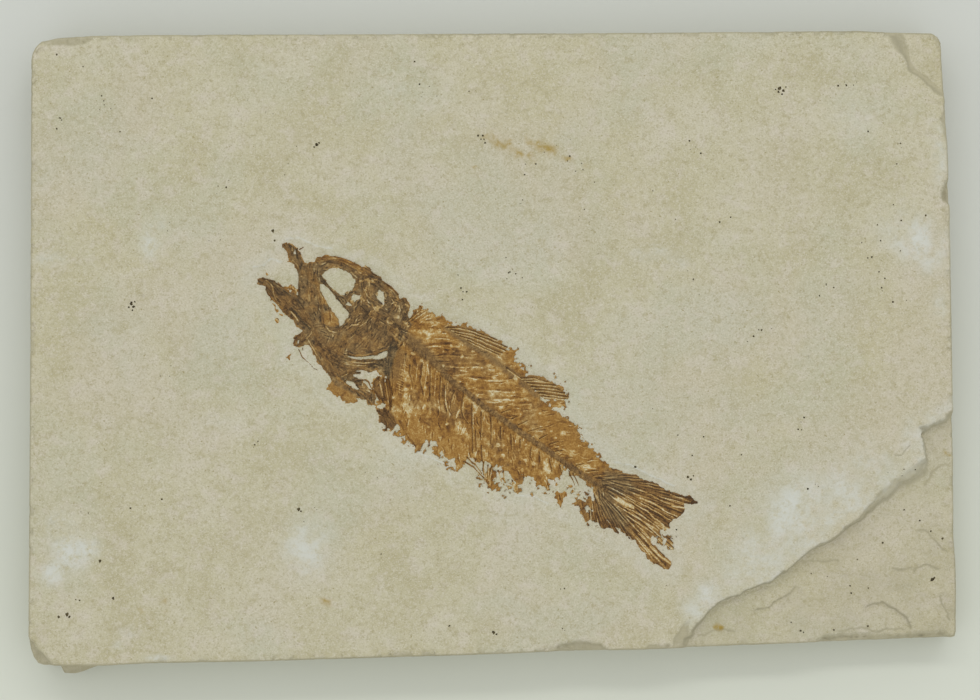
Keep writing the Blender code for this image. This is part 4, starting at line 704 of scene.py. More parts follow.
class Stone:
    """The height and the colouring of the plate's face at a set of points.

    bruise and rust are the strengths of those stains. The broken-stone strength is how newly broken
    the stone is, and it also holds painted shade on break walls, step lines, the crack and the rim.
    """

    def __init__(self, x, y):
        self.x, self.y = x, y
        self.rough_x = x + WANDER * layered_noise(x, y, 1.8, 11, 4)
        self.rough_y = y + WANDER * layered_noise(x, y, 1.8, 17, 4)
        edge = TOP_EDGE[::-1] + LEFT_EDGE[::-1][1:] + BOTTOM_EDGE[1:] + RIGHT_EDGE[1:-1]
        self.from_edge = depth_inside(x, y, edge)
        self.height = 0.1 * noise(x, y, 38.0, 31) + 0.035 * layered_noise(x, y, 5.0, 37)
        self.height += 0.012 * layered_noise(x, y, 0.9, 41, 2)
        self.height -= PIT_DEPTH * smooth(0.62, 0.9, noise(x, y, 1.1, 43))
        self.break_corners()
        self.break_facets()
        self.wear_rim()
        self.scrape()
        self.stain()

    def break_corners(self):
        """Lowers the ledge of the broken corner and the chipped floor, and paints shade on their
        walls and lines.
        """
        x, y = self.x, self.y
        ledge = break_share(self.rough_x, self.rough_y, CRACK_AT_FACE, CRACK_AT_LEDGE, BEYOND_LEDGE)
        chip = break_share(self.rough_x, self.rough_y, CHIP_AT_FACE, CHIP_AT_FLOOR, BEYOND_CHIP)
        wall = 4 * ledge * (1 - ledge)
        layers = 0.12 * layered_noise(x * 0.5 + y, y - x * 0.4, 1.1, 23)
        self.height -= LEDGE_DEPTH * ledge + wall * layers
        lumps = 0.34 * layered_noise(x, y, 6.0, 47) + 0.17 * layered_noise(x, y, 1.7, 53)
        self.height += ledge * lumps
        self.height -= LEDGE_TILT * (x - LEDGE_LEVEL) * ledge
        step_shade_lines = np.zeros(x.shape)
        for path, drop, reach in LEDGE_STEPS:
            step, line = terrace(self.rough_x, self.rough_y, path, drop, reach)
            self.height -= ledge * step
            step_shade_lines = np.maximum(step_shade_lines, ledge * line)
        self.height -= CHIP_DEPTH * chip * (0.75 + 0.3 * noise(x, y, 3.2, 59))
        self.height -= 0.25 * chip * layered_noise(x, y, 1.7, 61)
        crack = beside_path(self.rough_x, self.rough_y, HAIRLINE_CRACK)[0]
        self.height -= HAIRLINE_DEPTH * smooth(0.22, 0.0, crack)

        # Painted shade: the crack and chip walls, the step lines and the hairline crack darken
        # through the broken-stone strength; the ledge floor takes the greyer broken-stone colour
        self.on_face = 1 - ledge
        low = ledge * (0.32 + 0.14 * layered_noise(x, y, 4.0, 103))
        lines = np.maximum(0.8 * step_shade_lines, smooth(0.22, 0.02, crack))
        self.fresh_and_shade = np.maximum.reduce([wall, 4 * chip * (1 - chip), low, lines])

    def break_facets(self):
        """Breaks the flat facets off the rim."""
        for outline, depth in FACETS:
            inner = depth_inside(self.rough_x, self.rough_y, outline)
            slope = np.clip(inner / FACET_SLOPE, 0, 1) ** 0.8
            self.height -= depth * slope * (0.8 + 0.15 * noise(self.x, self.y, 1.2, 67))
            pale = 0.75 + 0.3 * noise(self.x, self.y, 0.9, 109)
            self.fresh_and_shade = np.maximum(self.fresh_and_shade, smooth(0, 0.5, inner) * pale)

    def wear_rim(self):
        """Rounds the rim and lets it crumble, and paints the rim darker: partly greyer worn stone,
        partly painted shade.
        """
        x, y, from_edge = self.x, self.y, self.from_edge
        crumbled = smooth(0.15, 0.5, layered_noise(x, y, 1.7, 241, 4)) * smooth(1.5, 0.4, from_edge)
        self.height -= CRUMBLED_DEPTH * crumbled
        worn = np.maximum(WORN_WIDTH + 0.2 * layered_noise(x, y, 2.6, 71), 0.12)
        self.height -= WORN_DEPTH * np.clip(1 - from_edge / worn, 0, 1) ** 1.7
        # The rim is painted darker: partly greyer worn stone, partly painted shade on its rounded
        # edge
        rim = 0.9 * smooth(0.5, 0.05, from_edge + 0.12 * layered_noise(x, y, 1.0, 101))
        self.fresh_and_shade = np.clip(np.maximum.reduce([self.fresh_and_shade, rim, 0.5 * crumbled]), 0, 1)

    def scrape(self):
        """Sinks the stone round the fish and raises the burrs at the end of the scraping."""
        u, v = to_fish(self.x, self.y)
        self.scraped = depth_inside(u + 0.3 * layered_noise(u, v, 2.0, 73), v, SCRAPED)
        self.height -= FISH_SUNK * smooth(0.0, 1.5, self.scraped)
        scratches = noise(u * 0.4 + v * 0.3, v - 0.2 * u, 0.32, 79)
        self.height += 0.02 * scratches * smooth(0.0, 0.6, self.scraped)
        self.ridges = np.zeros(u.shape)
        for path in SCRAPE_LINES:
            distance, along, _ = beside_path(u, v + 0.15 * noise(u, v, 0.9, 83), path)
            ridge = smooth(0.24, 0.04, distance) * smooth(0, 0.1, along)
            self.ridges = np.maximum(self.ridges, ridge)
        self.height += RIDGE_HEIGHT * self.ridges

    def stain(self):
        """Bruises the face white, most of all along the crack, and smears it with rust."""
        x, y = self.x, self.y
        near_break = smooth(0.0, 1.0, layered_noise(x, y, 2.4, 89) + 0.6)
        bruise = 0.2 * smooth(3.6, 0.2, np.abs(self.scraped)) * (self.scraped > -1.2)
        for (mx, my), wide, tall, strength in BRUISES:
            spread = np.hypot((x - mx) / wide, (y - my) / tall)
            bruise = np.maximum(bruise, strength * smooth(1.6, 0.1, spread) * (0.35 + near_break))
        from_crack = beside_path(x, y, CRACK_AT_FACE)[0]
        along_crack = 0.55 * smooth(3.4, 0.2, from_crack) * near_break * smooth(30.0, 36.0, x)
        bruise = np.maximum(bruise, along_crack)
        self.bruise = np.clip(np.maximum(bruise * self.on_face, 0.8 * self.ridges), 0, 1)
        self.rust = np.zeros(x.shape)
        for path, width in RUST_SMEARS:
            distance = beside_path(self.rough_x, self.rough_y, path)[0]
            self.rust = np.maximum(self.rust, smooth(width * 0.75, width * 0.1, distance))
        self.rust *= smooth(-0.7, 0.3, layered_noise(x, y, 0.9, 97))


# The fish's shape
class Fish:
    """The fish drawn on a grid in its own frame.

    cover is how far inside the film or a bone a point lies. tone runs from 0 for cream to 1 for
    nearly black, and grey from 0 for rusty to 1 for blue-grey. relief is the height of the bones.
    """

    def __init__(self):
        across = np.arange(FISH_U[0], FISH_U[1], FISH_STEP)
        up = np.arange(FISH_V[0], FISH_V[1], FISH_STEP)
        self.u, self.v = np.meshgrid(across, up, indexing="ij")
        self.x, self.y = to_slab(self.u, self.v)
        self.ragged_u = self.u + 0.3 * layered_noise(self.u, self.v, 0.8, 101)
        self.ragged_v = self.v + 0.3 * layered_noise(self.u, self.v, 0.8, 107)
        self.wavy_u = self.u + 0.07 * layered_noise(self.u, self.v, 0.9, 113, 2)
        self.wavy_v = self.v + 0.07 * layered_noise(self.u, self.v, 0.9, 127, 2)
        self.cover = np.full(self.u.shape, -2.0)
        self.tone = np.full(self.u.shape, 0.45)
        self.grey = np.zeros(self.u.shape)
        self.relief = np.zeros(self.u.shape)

    def window(self, points, margin):
        """The part of the grid round some points, so that small shapes are quick to draw."""
        spans = []
        for axis, start in ((0, FISH_U[0]), (1, FISH_V[0])):
            low = min(p[axis] for p in points) - margin - start
            high = max(p[axis] for p in points) + margin - start
            spans.append(slice(max(int(low / FISH_STEP), 0), max(int(high / FISH_STEP) + 2, 0)))
        return tuple(spans)

    def film(self, outline, frayed, sparse=0.1):
        """Lays film inside the outline. Its margin is frayed into bites and crumbs, and with a
        high sparse only crumbs are left of it."""
        w = self.window(outline, 2.0)
        inner = depth_inside(self.ragged_u[w], self.ragged_v[w], outline)
        crumbs = layered_noise(self.u[w], self.v[w], 0.6, 103, 4)
        self.cover[w] = np.maximum(self.cover[w], inner + frayed * (crumbs - sparse))

    def hole(self, outline):
        """Takes film away, so that the stone shows."""
        w = self.window(outline, 1.0)
        inner = depth_inside(self.ragged_u[w], self.ragged_v[w], outline)
        self.cover[w] = np.minimum(self.cover[w], -inner)
        self.blend(w, smooth(-0.25, 0.1, inner) * 0.5, tone=0.35)

    def blend(self, w, share, tone=None, grey=None):
        """Moves the colour in a window towards a tone and a greyness."""
        if tone is not None:
            self.tone[w] += (tone - self.tone[w]) * share
        if grey is not None:
            self.grey[w] += (grey - self.grey[w]) * share

    def area(self, outline, tone, grey, soft):
        w = self.window(outline, 1.5)
        inner = depth_inside(self.ragged_u[w], self.ragged_v[w], outline)
        self.blend(w, 0.85 * smooth(-soft, soft, inner), tone, grey)

    def bone(self, path, wide, narrow, height, tone, grey):
        """A flat bar with fibres along it, cream splinters and a painted shadow line along its
        lower side.
        """
        w = self.window(path, wide + 0.5)
        distance, along, left = beside_path(self.wavy_u[w], self.wavy_v[w], path)
        along = along * path_length(path)
        taper = wide + (narrow - wide) * along / max(along.max(), 1e-6)
        half = 0.5 * taper * (1 + 0.3 * noise(along, left, 0.9, 131))
        fibre = noise(along, left * 9.0, 1.2, 137)
        splinter = smooth(0.45, 0.8, noise(along, left * 7.0, 0.8, 139))
        inner = smooth(1.1, 0.5, distance / half)
        self.blend(w, inner * 0.75, tone + 0.04 + 0.3 * fibre - 0.5 * splinter, grey)
        # Painted shadow: a dark line along the bone's lower side
        under = smooth(0.14, 0.04, np.abs(distance - half)) * (left < 0)
        self.blend(w, 0.5 * under, 0.95)
        raised = dome(distance, half) * (height + 0.07 * fibre)
        self.relief[w] = np.maximum(self.relief[w], raised)
        self.cover[w] = np.maximum(self.cover[w], half - distance)

    def hair(self, path, width, change):
        """A fine line that makes what it crosses darker or, with a negative change, paler."""
        w = self.window(path, width + 0.2)
        distance, along, _ = beside_path(self.wavy_u[w], self.wavy_v[w], path)
        inner = smooth(0.5 * width + 0.06, 0.2 * width, distance) * np.sin(math.pi * along)
        self.tone[w] += change * inner
        self.relief[w] += 0.1 * change * inner

    def slit(self, path, width, tone=0.05):
        """A narrow gap between bones, where the cream film below shows."""
        w = self.window(path, width + 0.3)
        distance, along, _ = beside_path(self.wavy_u[w], self.wavy_v[w], path)
        half = 0.5 * width * (0.6 + 0.4 * np.sin(math.pi * np.clip(along, 0.02, 0.98)))
        inner = smooth(1.35, 0.5, distance / half)
        self.blend(w, inner * 0.95, tone, 0.0)
        self.relief[w] *= 1 - 0.8 * inner

    def spot(self, place, radius, tone):
        w = self.window([place], radius + 0.3)
        distance = np.hypot(self.ragged_u[w] - place[0], self.ragged_v[w] - place[1])
        self.blend(w, 0.9 * smooth(radius * 1.3, radius * 0.5, distance), tone)


def leaning(u, v):
    """The direction that muscles, ribs and rays follow at a place behind the head."""
    if u > 42.5:
        return math.atan2(v - TAIL_ROOT[1], u - TAIL_ROOT[0])
    backbone = np.interp(u, [p[0] for p in BACKBONE], [p[1] for p in BACKBONE])
    if v > backbone:
        return math.radians(38.0 if u > 3.0 else 58.0)
    return math.radians(np.interp(u, [2.0, 14.0, 30.0], [-62.0, -52.0, -46.0]))


def beside_bones(u, v, bones):
    """The direction of the bone that is nearest to a place in the head."""
    best, direction = 1e9, 0.0
    for path in bones:
        for (au, av), (bu, bv) in zip(path, path[1:]):
            away = math.dist((u, v), ((au + bu) / 2, (av + bv) / 2))
            if away < best:
                best, direction = away, math.atan2(bv - av, bu - au)
    return direction


def draw_hairs(fish, direction_at, count, spans, lengths, strength, wild):
    """Fine dark and cream lines side by side, strewn over a part of the fish."""
    chance = np.random.default_rng(int(spans[0] * 7 + 1000))
    for _ in range(count):
        u, v = chance.uniform(*spans[:2]), chance.uniform(*spans[2:])
        i, j = int((u - FISH_U[0]) / FISH_STEP), int((v - FISH_V[0]) / FISH_STEP)
        if fish.cover[i, j] < 0.05:
            continue
        turn = direction_at(u, v) + chance.normal(0, 0.8 * wild)
        bend = chance.normal(0, wild)
        half = chance.uniform(*lengths) / 2
        back = (u - half * math.cos(turn - bend), v - half * math.sin(turn - bend))
        front = (u + half * math.cos(turn + bend), v + half * math.sin(turn + bend))
        path = [back, (u, v), front]
        change = strength * chance.uniform(0.5, 1.0)
        side = 0.17 * (1 if chance.random() < 0.5 else -1)
        beside = moved(path, -side * math.sin(turn), side * math.cos(turn))
        fish.hair(path, 0.16, change)
        fish.hair(beside, 0.14, -0.9 * change)


def body_texture(fish):
    """Mottling and streaks of the film, which follow the muscles and the tail's rays."""
    u, v = fish.u, fish.v
    backbone = np.interp(u, [p[0] for p in BACKBONE], [p[1] for p in BACKBONE])
    lean = np.where(v > backbone, math.radians(36), math.radians(-50))
    along = u * np.cos(lean) + v * np.sin(lean)
    across = -u * np.sin(lean) + v * np.cos(lean)
    tail = smooth(41.0, 44.0, u)
    spread = np.arctan2(v - TAIL_ROOT[1], u - TAIL_ROOT[0])
    muscle = layered_noise(along, across * 3.0, 1.4, 151)
    fan = layered_noise(spread * 24.0, (u - 40.0) / 7.0, 0.8, 157)
    patches = layered_noise(u, v, 2.6, 163)
    grains = layered_noise(u, v, 0.5, 167)
    fish.tone += 0.2 * tail + 0.06
    mottling = 0.26 * patches + 0.16 * layered_noise(u, v, 1.2, 269) + 0.2 * grains
    fish.tone += mottling + 0.24 * muscle * (1 - tail) + 0.4 * fan * tail
    fish.grey += 0.3 * tail + 0.3 * smooth(0.0, 0.6, layered_noise(u, v, 3.2, 173)) * (1 - tail)
    fish.relief += 0.03 * (muscle * (1 - tail) + 1.5 * fan * tail) + 0.03 * grains
    cream = smooth(0.46, 0.72, layered_noise(u, v, 0.7, 179, 4)) * (1 - 0.4 * smooth(20, 30, u))
    fish.blend(EVERYWHERE, 0.5 * cream * (1 - tail), 0.14)
    thin = smooth(0.8, 0.0, fish.cover) * smooth(-0.5, 0.3, layered_noise(u, v, 0.9, 233))
    fish.blend(EVERYWHERE, 0.5 * thin * (1 - tail), 0.3)


def head_texture(fish):
    """Dark crushed bone under the head's own bones."""
    inner = depth_inside(fish.ragged_u, fish.ragged_v, HEAD_EDGE)
    share = smooth(-0.2, 0.5, inner)
    u, v = fish.u, fish.v
    clumps = layered_noise(u, v, 1.5, 181)
    grains = layered_noise(u, v, 0.42, 193)
    fish.blend(EVERYWHERE, share, 0.66 + 0.2 * clumps + 0.26 * grains, 0.55)
    fish.relief += share * (0.1 + 0.06 * clumps + 0.05 * grains)
    crumbs = smooth(0.45, 0.75, layered_noise(u, v, 0.6, 197, 4))
    fish.blend(EVERYWHERE, 0.6 * crumbs * share, 0.2)


def head_flecks(fish):
    """Cream and rusty crumbs that lie on the crushed bones of the head."""
    share = smooth(0.0, 0.4, depth_inside(fish.ragged_u, fish.ragged_v, HEAD_EDGE))
    u, v = fish.u, fish.v
    rusty = smooth(0.0, 0.5, layered_noise(u, v, 1.6, 257))
    fish.tone -= 0.02 * share
    fish.grey += 0.3 * share * smooth(0.0, 0.2, fish.grey)
    fish.blend(EVERYWHERE, 0.35 * rusty * share, 0.55, 0.1)
    fish.tone += 0.2 * share * smooth(0.1, 0.5, layered_noise(u, v, 0.9, 263, 4))
    crown = smooth(-2.5, 0.5, v) * smooth(-13.0, -11.0, u)
    flecks = smooth(0.3, 0.48, layered_noise(u, v, 0.75, 251, 4))
    fish.blend(EVERYWHERE, 0.8 * flecks * share * (0.3 + 0.7 * crown), 0.08, 0.1)


def draw_backbone(fish):
    """A rough dark band of crushed vertebrae. Its front lies blurred under the film."""
    w = fish.window(BACKBONE, 1.5)
    u, v = fish.u[w], fish.v[w]
    distance, along, left = beside_path(fish.wavy_u[w], fish.wavy_v[w], BACKBONE)
    along = along * path_length(BACKBONE)
    phase = np.cos(2 * math.pi * (along + 0.35 * left) / VERTEBRA)
    half = 0.5 + 0.05 * phase + 0.14 * layered_noise(along, left, 0.7, 199)
    inner = smooth(1.25, 0.7, distance / half)
    tone = 0.72 + 0.34 * layered_noise(u, v, 0.35, 211) - 0.16 * smooth(0.75, 1.0, -phase)
    fish.blend(w, inner * (0.55 + 0.35 * smooth(6.0, 11.0, u)), tone, 0.6)
    rough = 0.3 + 0.06 * phase + 0.07 * layered_noise(u, v, 0.4, 239)
    fish.relief[w] = np.maximum(fish.relief[w], dome(distance, half) * rough)
    fish.cover[w] = np.maximum(fish.cover[w], half - distance)


def draw_ribs(fish):
    """Ribs and spines with pale slits beside them; by the ribs the slit is partly a painted
    highlight.
    """
    for path in RIBS:
        fish.bone(path, 0.2, 0.12, 0.18, 0.8, 0.4)
        # Partly cream film between bones, partly a painted highlight beside the rib
        fish.slit(moved(path, 0.17, 0.08), 0.14, 0.22)
    for path in SPINES:
        fish.bone(path, 0.18, 0.1, 0.18, 0.82, 0.4)
        fish.slit(moved(path, 0.16, -0.1), 0.14, 0.2)


def draw_fish():
    """Draws the film first, then its colours, and the bones from the deepest to the highest."""
    fish = Fish()
    fish.film(HEAD_EDGE, 0.25)
    fish.film(BODY_EDGE, 0.8)
    fish.film(TAIL_EDGE, 0.2, -0.3)
    for outline in FLAKES:
        fish.film(outline, 0.3, -0.15)
    for outline in FIN_WEBS:
        fish.film(outline, 0.5)
    for outline in CRUMBS:
        fish.film(outline, 2.4, 0.3)
    body_texture(fish)
    head_texture(fish)
    for outline, tone, grey, soft in AREAS:
        fish.area(outline, tone, grey, soft)
    fish.tone += 0.1 * layered_noise(fish.u, fish.v, 0.5, 223)
    head_paths = [bone[0] for bone in HEAD_BONES + THROAT_BONES]
    draw_hairs(fish, leaning, *BODY_HAIRS)
    draw_hairs(fish, leaning, *TAIL_HAIRS)
    draw_hairs(fish, lambda u, v: beside_bones(u, v, head_paths), *HEAD_HAIRS)
    for path in FIN_CARRIERS:
        fish.hair(path, 0.45, 0.24)
        fish.hair(moved(path, 0.25, -0.3), 0.2, -0.3)
    for place, radius in PALE_SPOTS:
        fish.spot(place, radius, 0.1)
    for u, v in SKIN_TICKS:
        fish.slit([(u - 0.6, v - 0.1), (u + 0.7, v + 0.2)], 0.14, 0.12)
        fish.slit([(u - 0.3, v - 0.45), (u + 1.0, v - 0.2)], 0.1, 0.2)
    for outline in HOLES:
        fish.hole(outline)
    draw_ribs(fish)
    draw_backbone(fish)
    for path, wide, narrow, height, tone, grey in HEAD_BONES + THROAT_BONES:
        fish.bone(path, wide, narrow, BONE_HEIGHT * height, tone, grey)
    head_flecks(fish)
    for outline in FIN_WEBS:
        fish.area(outline, 0.5, 0.4, 0.3)
    for path in FIN_RAYS:
        fish.bone(path, 0.3, 0.2, 0.2, 0.82, 0.4)
    for path in FIN_RAYS:
        fish.slit(moved(path, 0.2, -0.2), 0.24, 0.1)
    for path, width in PALE_SLITS:
        fish.slit(path, width)
    for place, radius in DARK_DOTS:
        fish.spot(place, radius, 1.0)
    fish.tone = np.clip(fish.tone, 0.0, 1.0)
    fish.grey = np.clip(fish.grey, 0.0, 1.0)
    return fish


# Meshes
def add_object(name, data):
    obj = bpy.data.objects.new(name, data)
    bpy.context.scene.collection.objects.link(obj)
    return obj


def squares(index):
    """The four corners of each square of a grid of point numbers."""
    return np.stack([index[:-1, :-1], index[1:, :-1], index[1:, 1:], index[:-1, 1:]], -1)


def new_object(name, points, quads, looks):
    """A mesh of squares from points in millimetres. looks has one number for each point."""
    mesh = bpy.data.meshes.new(name)
    mesh.vertices.add(len(points))
    mesh.vertices.foreach_set("co", (points * MM).astype(np.float32).ravel())
    mesh.loops.add(quads.size)
    mesh.loops.foreach_set("vertex_index", quads.astype(np.int32).ravel())
    mesh.polygons.add(len(quads))
    mesh.polygons.foreach_set("loop_start", np.arange(0, quads.size, 4, dtype=np.int32))
    mesh.update(calc_edges=True)
    mesh.polygons.foreach_set("use_smooth", np.ones(len(quads), bool))
    for key, values in looks.items():
        layer = mesh.attributes.new(key, "FLOAT", "POINT")
        layer.data.foreach_set("value", values.astype(np.float32).ravel())
    return add_object(name, mesh)


def thin_out(obj, triangles):
    """Merges faces where the surface is flattest until about this many triangles are left."""
    full = sum(len(p.vertices) - 2 for p in obj.data.polygons)
    if full > triangles:
        thinner = obj.modifiers.new("thinner", "DECIMATE")
        thinner.ratio = triangles / full
        graph = bpy.context.evaluated_depsgraph_get()
        made = obj.evaluated_get(graph)
        mesh = bpy.data.meshes.new_from_object(
            made, preserve_all_data_layers=True, depsgraph=graph
        )
        obj.modifiers.clear()
        obj.data = mesh
        mesh.polygons.foreach_set("use_smooth", np.ones(len(mesh.polygons), bool))


def resampled(edge, count):
    """Points spaced evenly along an edge."""
    edge = np.array(edge)
    passed = np.concatenate(([0.0], np.cumsum(np.hypot(*np.diff(edge, axis=0).T))))
    places = np.linspace(0.0, passed[-1], count)
    return np.stack([np.interp(places, passed, edge[:, k]) for k in (0, 1)], axis=-1)


def face_grid():
    """Points of the face: a net stretched between the plate's four edges."""
    columns, rows = int(154 / STONE_STEP), int(105 / STONE_STEP)
    low, high = resampled(BOTTOM_EDGE, columns), resampled(TOP_EDGE, columns)
    left, right = resampled(LEFT_EDGE, rows), resampled(RIGHT_EDGE, rows)
    s = np.linspace(0, 1, columns)[:, None, None]
    t = np.linspace(0, 1, rows)[None, :, None]
    between_rows = low[:, None] * (1 - t) + high[:, None] * t
    between_columns = left[None] * (1 - s) + right[None] * s
    corners = (low[0] * (1 - s) + low[-1] * s) * (1 - t) + (high[0] * (1 - s) + high[-1] * s) * t
    return between_rows + between_columns - corners


def build_stone(fish):
    """The plate: its face, which is sunk under the fish, its walls row by row, and its back."""
    grid = face_grid()
    columns, rows = grid.shape[:2]
    stone = Stone(grid[..., 0], grid[..., 1])
    u, v = to_fish(grid[..., 0], grid[..., 1])
    i = np.clip(((u - FISH_U[0]) / FISH_STEP).astype(int), 0, fish.u.shape[0] - 1)
    j = np.clip(((v - FISH_V[0]) / FISH_STEP).astype(int), 0, fish.u.shape[1] - 1)
    stone.height -= 0.2 * smooth(0.15, 0.5, fish.cover[i, j])

    index = np.arange(columns * rows).reshape(columns, rows)
    quads = [squares(index).reshape(-1, 4)]
    points = [np.concatenate([grid, (FACE + stone.height)[..., None]], -1).reshape(-1, 3)]
    rim = np.concatenate([index[:, 0], index[-1, 1:], index[-2::-1, -1], index[0, -2:0:-1]])
    top = points[0][rim]
    ahead = np.roll(top, -3, axis=0)[:, :2] - np.roll(top, 3, axis=0)[:, :2]
    outward = np.stack([ahead[:, 1], -ahead[:, 0]], -1)
    outward /= np.linalg.norm(outward, axis=1, keepdims=True)
    walk = np.arange(len(rim)) * STONE_STEP
    on_lip = smooth(LIP_FROM, LIP_FROM + 1.2, top[:, 0]) * smooth(LIP_TO, LIP_TO - 6.0, top[:, 0])
    on_lip *= top[:, 1] < -45
    previous, start = rim, columns * rows
    for row in range(1, WALL_ROWS + 1):
        share = row / WALL_ROWS
        z = top[:, 2] * (1 - share)
        push = 0.1 * layered_noise(walk, z * 2.2, 2.4, 227) * math.sin(math.pi * share)
        push += 0.06 * noise(walk * 0.05, z, 0.7, 229) * math.sin(math.pi * share)
        push += LIP_REACH * on_lip * smooth(LIP_HIGH + 0.4, LIP_HIGH - 0.2, z) * smooth(0.0, 1.0, z)
        push -= WALL_FOOT * smooth(0.6, 0.0, z)
        ring = top[:, :2] + outward * push[:, None]
        points.append(np.concatenate([ring, z[:, None]], -1))
        current = np.arange(start, start + len(rim))
        quads.append(np.stack([previous, current, np.roll(current, -1), np.roll(previous, -1)], -1))
        previous, start = current, start + len(rim)

    extra = start - columns * rows
    looks = {
        key: np.concatenate([values.ravel(), np.full(extra, rest)])
        for key, values, rest in (
            ("bruise", stone.bruise, 0.0),
            ("rust", stone.rust, 0.0),
            # The walls and the lip take the darker broken-stone colour: partly the bed's layers,
            # partly painted shade
            ("fresh_and_shade", stone.fresh_and_shade, 0.6),
            ("wall", np.zeros(stone.rust.shape), 1.0),
        )
    }
    obj = new_object("limestone_plate", np.concatenate(points), np.concatenate(quads), looks)
    close_underside(obj)
    thin_out(obj, STONE_TRIANGLES)
    map_plate(obj.data)
    return obj


def close_underside(obj):
    shape = bmesh.new()
    shape.from_mesh(obj.data)
    rim = [edge for edge in shape.edges if edge.is_boundary]
    bmesh.ops.holes_fill(shape, edges=rim, sides=0)
    bmesh.ops.triangulate(shape, faces=[f for f in shape.faces if len(f.verts) > 4])
    bmesh.ops.recalc_face_normals(shape, faces=shape.faces)
    shape.to_mesh(obj.data)
    shape.free()


def corner_data(mesh):
    """For each corner of each face: its place, its vertex, its face and the face's normal."""
    places = np.empty(len(mesh.vertices) * 3, np.float32)
    mesh.vertices.foreach_get("co", places)
    vertex = np.empty(len(mesh.loops), np.int32)
    mesh.loops.foreach_get("vertex_index", vertex)
    normals = np.empty(len(mesh.polygons) * 3, np.float32)
    mesh.polygons.foreach_get("normal", normals)
    sizes = np.empty(len(mesh.polygons), np.int32)
    mesh.polygons.foreach_get("loop_total", sizes)
    face = np.repeat(np.arange(len(sizes)), sizes)
    return places.reshape(-1, 3)[vertex], vertex, face, normals.reshape(-1, 3)[face]


def save_map(mesh, across, up):
    layer = mesh.uv_layers.new(name="OFBake")
    layer.data.foreach_set("uv", np.stack([across, up], -1).astype(np.float32).ravel())


def map_relief(mesh):
    """A flat map: the upper half is what faces up, and the rest lies sheared in the lower half."""
    place, _, _, normal = corner_data(mesh)
    share = (place - place.min(0)) / np.ptp(place, axis=0)
    faces_up = normal[:, 2] > 0.05
    shear = np.where(faces_up, 0.0, 0.02 * share[:, 2])
    across = 0.01 + 0.96 * share[:, 0] + shear
    save_map(mesh, across, np.where(faces_up, 0.52, 0.01) + 0.46 * share[:, 1] + shear)


def map_plate(mesh):
    """A flat map: the face in the upper half, the underside below it, and the walls as strips."""
    place, vertex, face, normal = corner_data(mesh)
    share = (place - place.min(0)) / np.ptp(place, axis=0)
    wall = np.empty(len(mesh.vertices), np.float32)
    mesh.attributes["wall"].data.foreach_get("value", wall)
    mesh.attributes.remove(mesh.attributes["wall"])
    on_wall = np.zeros(len(mesh.polygons), bool)
    on_wall[face[wall[vertex] > 0.5]] = True
    down = normal[:, 2] < -0.7
    on_wall = on_wall[face] & ~down
    first = np.searchsorted(face, np.arange(len(mesh.polygons)))
    centre = np.add.reduceat(place, first, axis=0) / np.diff(np.append(first, len(face)))[:, None]
    low, high = place.min(0), place.max(0)
    from_low, from_high = (centre - low).T, (high - centre).T
    beside = [from_low[0], from_high[0], from_low[1], from_high[1]]
    side = np.argmin(np.stack(beside), axis=0)[face]
    along = np.where(side < 2, share[:, 1], share[:, 0])
    flat = np.where(down, 0.22 + 0.27 * share[:, 1], 0.52 + 0.47 * share[:, 1])
    save_map(mesh, 0.01 + 0.98 * np.where(on_wall, along, share[:, 0]),
             np.where(on_wall, 0.01 + 0.05 * side + 0.04 * share[:, 2], flat))


def nearest_nodes(fish, nodes):
    """For each point of the fish's grid, which of the named CAD nodes lies nearest."""
    every = 6
    trees = []
    for name in nodes:
        mesh = nodes[name].data
        points = [v.co.copy() for v in mesh.vertices]
        trees.append(BVHTree.FromPolygons(points, [tuple(p.vertices) for p in mesh.polygons]))
    coarse = np.zeros((len(nodes),) + fish.x[::every, ::every].shape)
    near = fish.cover[::every, ::every] > -2.5
    for i, j in zip(*np.nonzero(near)):
        place = Vector((fish.x[i * every, j * every], fish.y[i * every, j * every], FACE)) * MM
        for k, tree in enumerate(trees):
            coarse[k, i, j] = tree.find_nearest(place)[3]
    rows = np.minimum(np.arange(fish.x.shape[0]) / every, coarse.shape[1] - 1.001)
    columns = np.minimum(np.arange(fish.x.shape[1]) / every, coarse.shape[2] - 1.001)
    i, j = rows.astype(int), columns.astype(int)
    a, b = (rows - i)[:, None], (columns - j)[None, :]
    fine = [
        (c[np.ix_(i, j)] * (1 - a) + c[np.ix_(i + 1, j)] * a) * (1 - b)
        + (c[np.ix_(i, j + 1)] * (1 - a) + c[np.ix_(i + 1, j + 1)] * a) * b
        for c in coarse
    ]
    return np.argmin(np.stack(fine), axis=0)


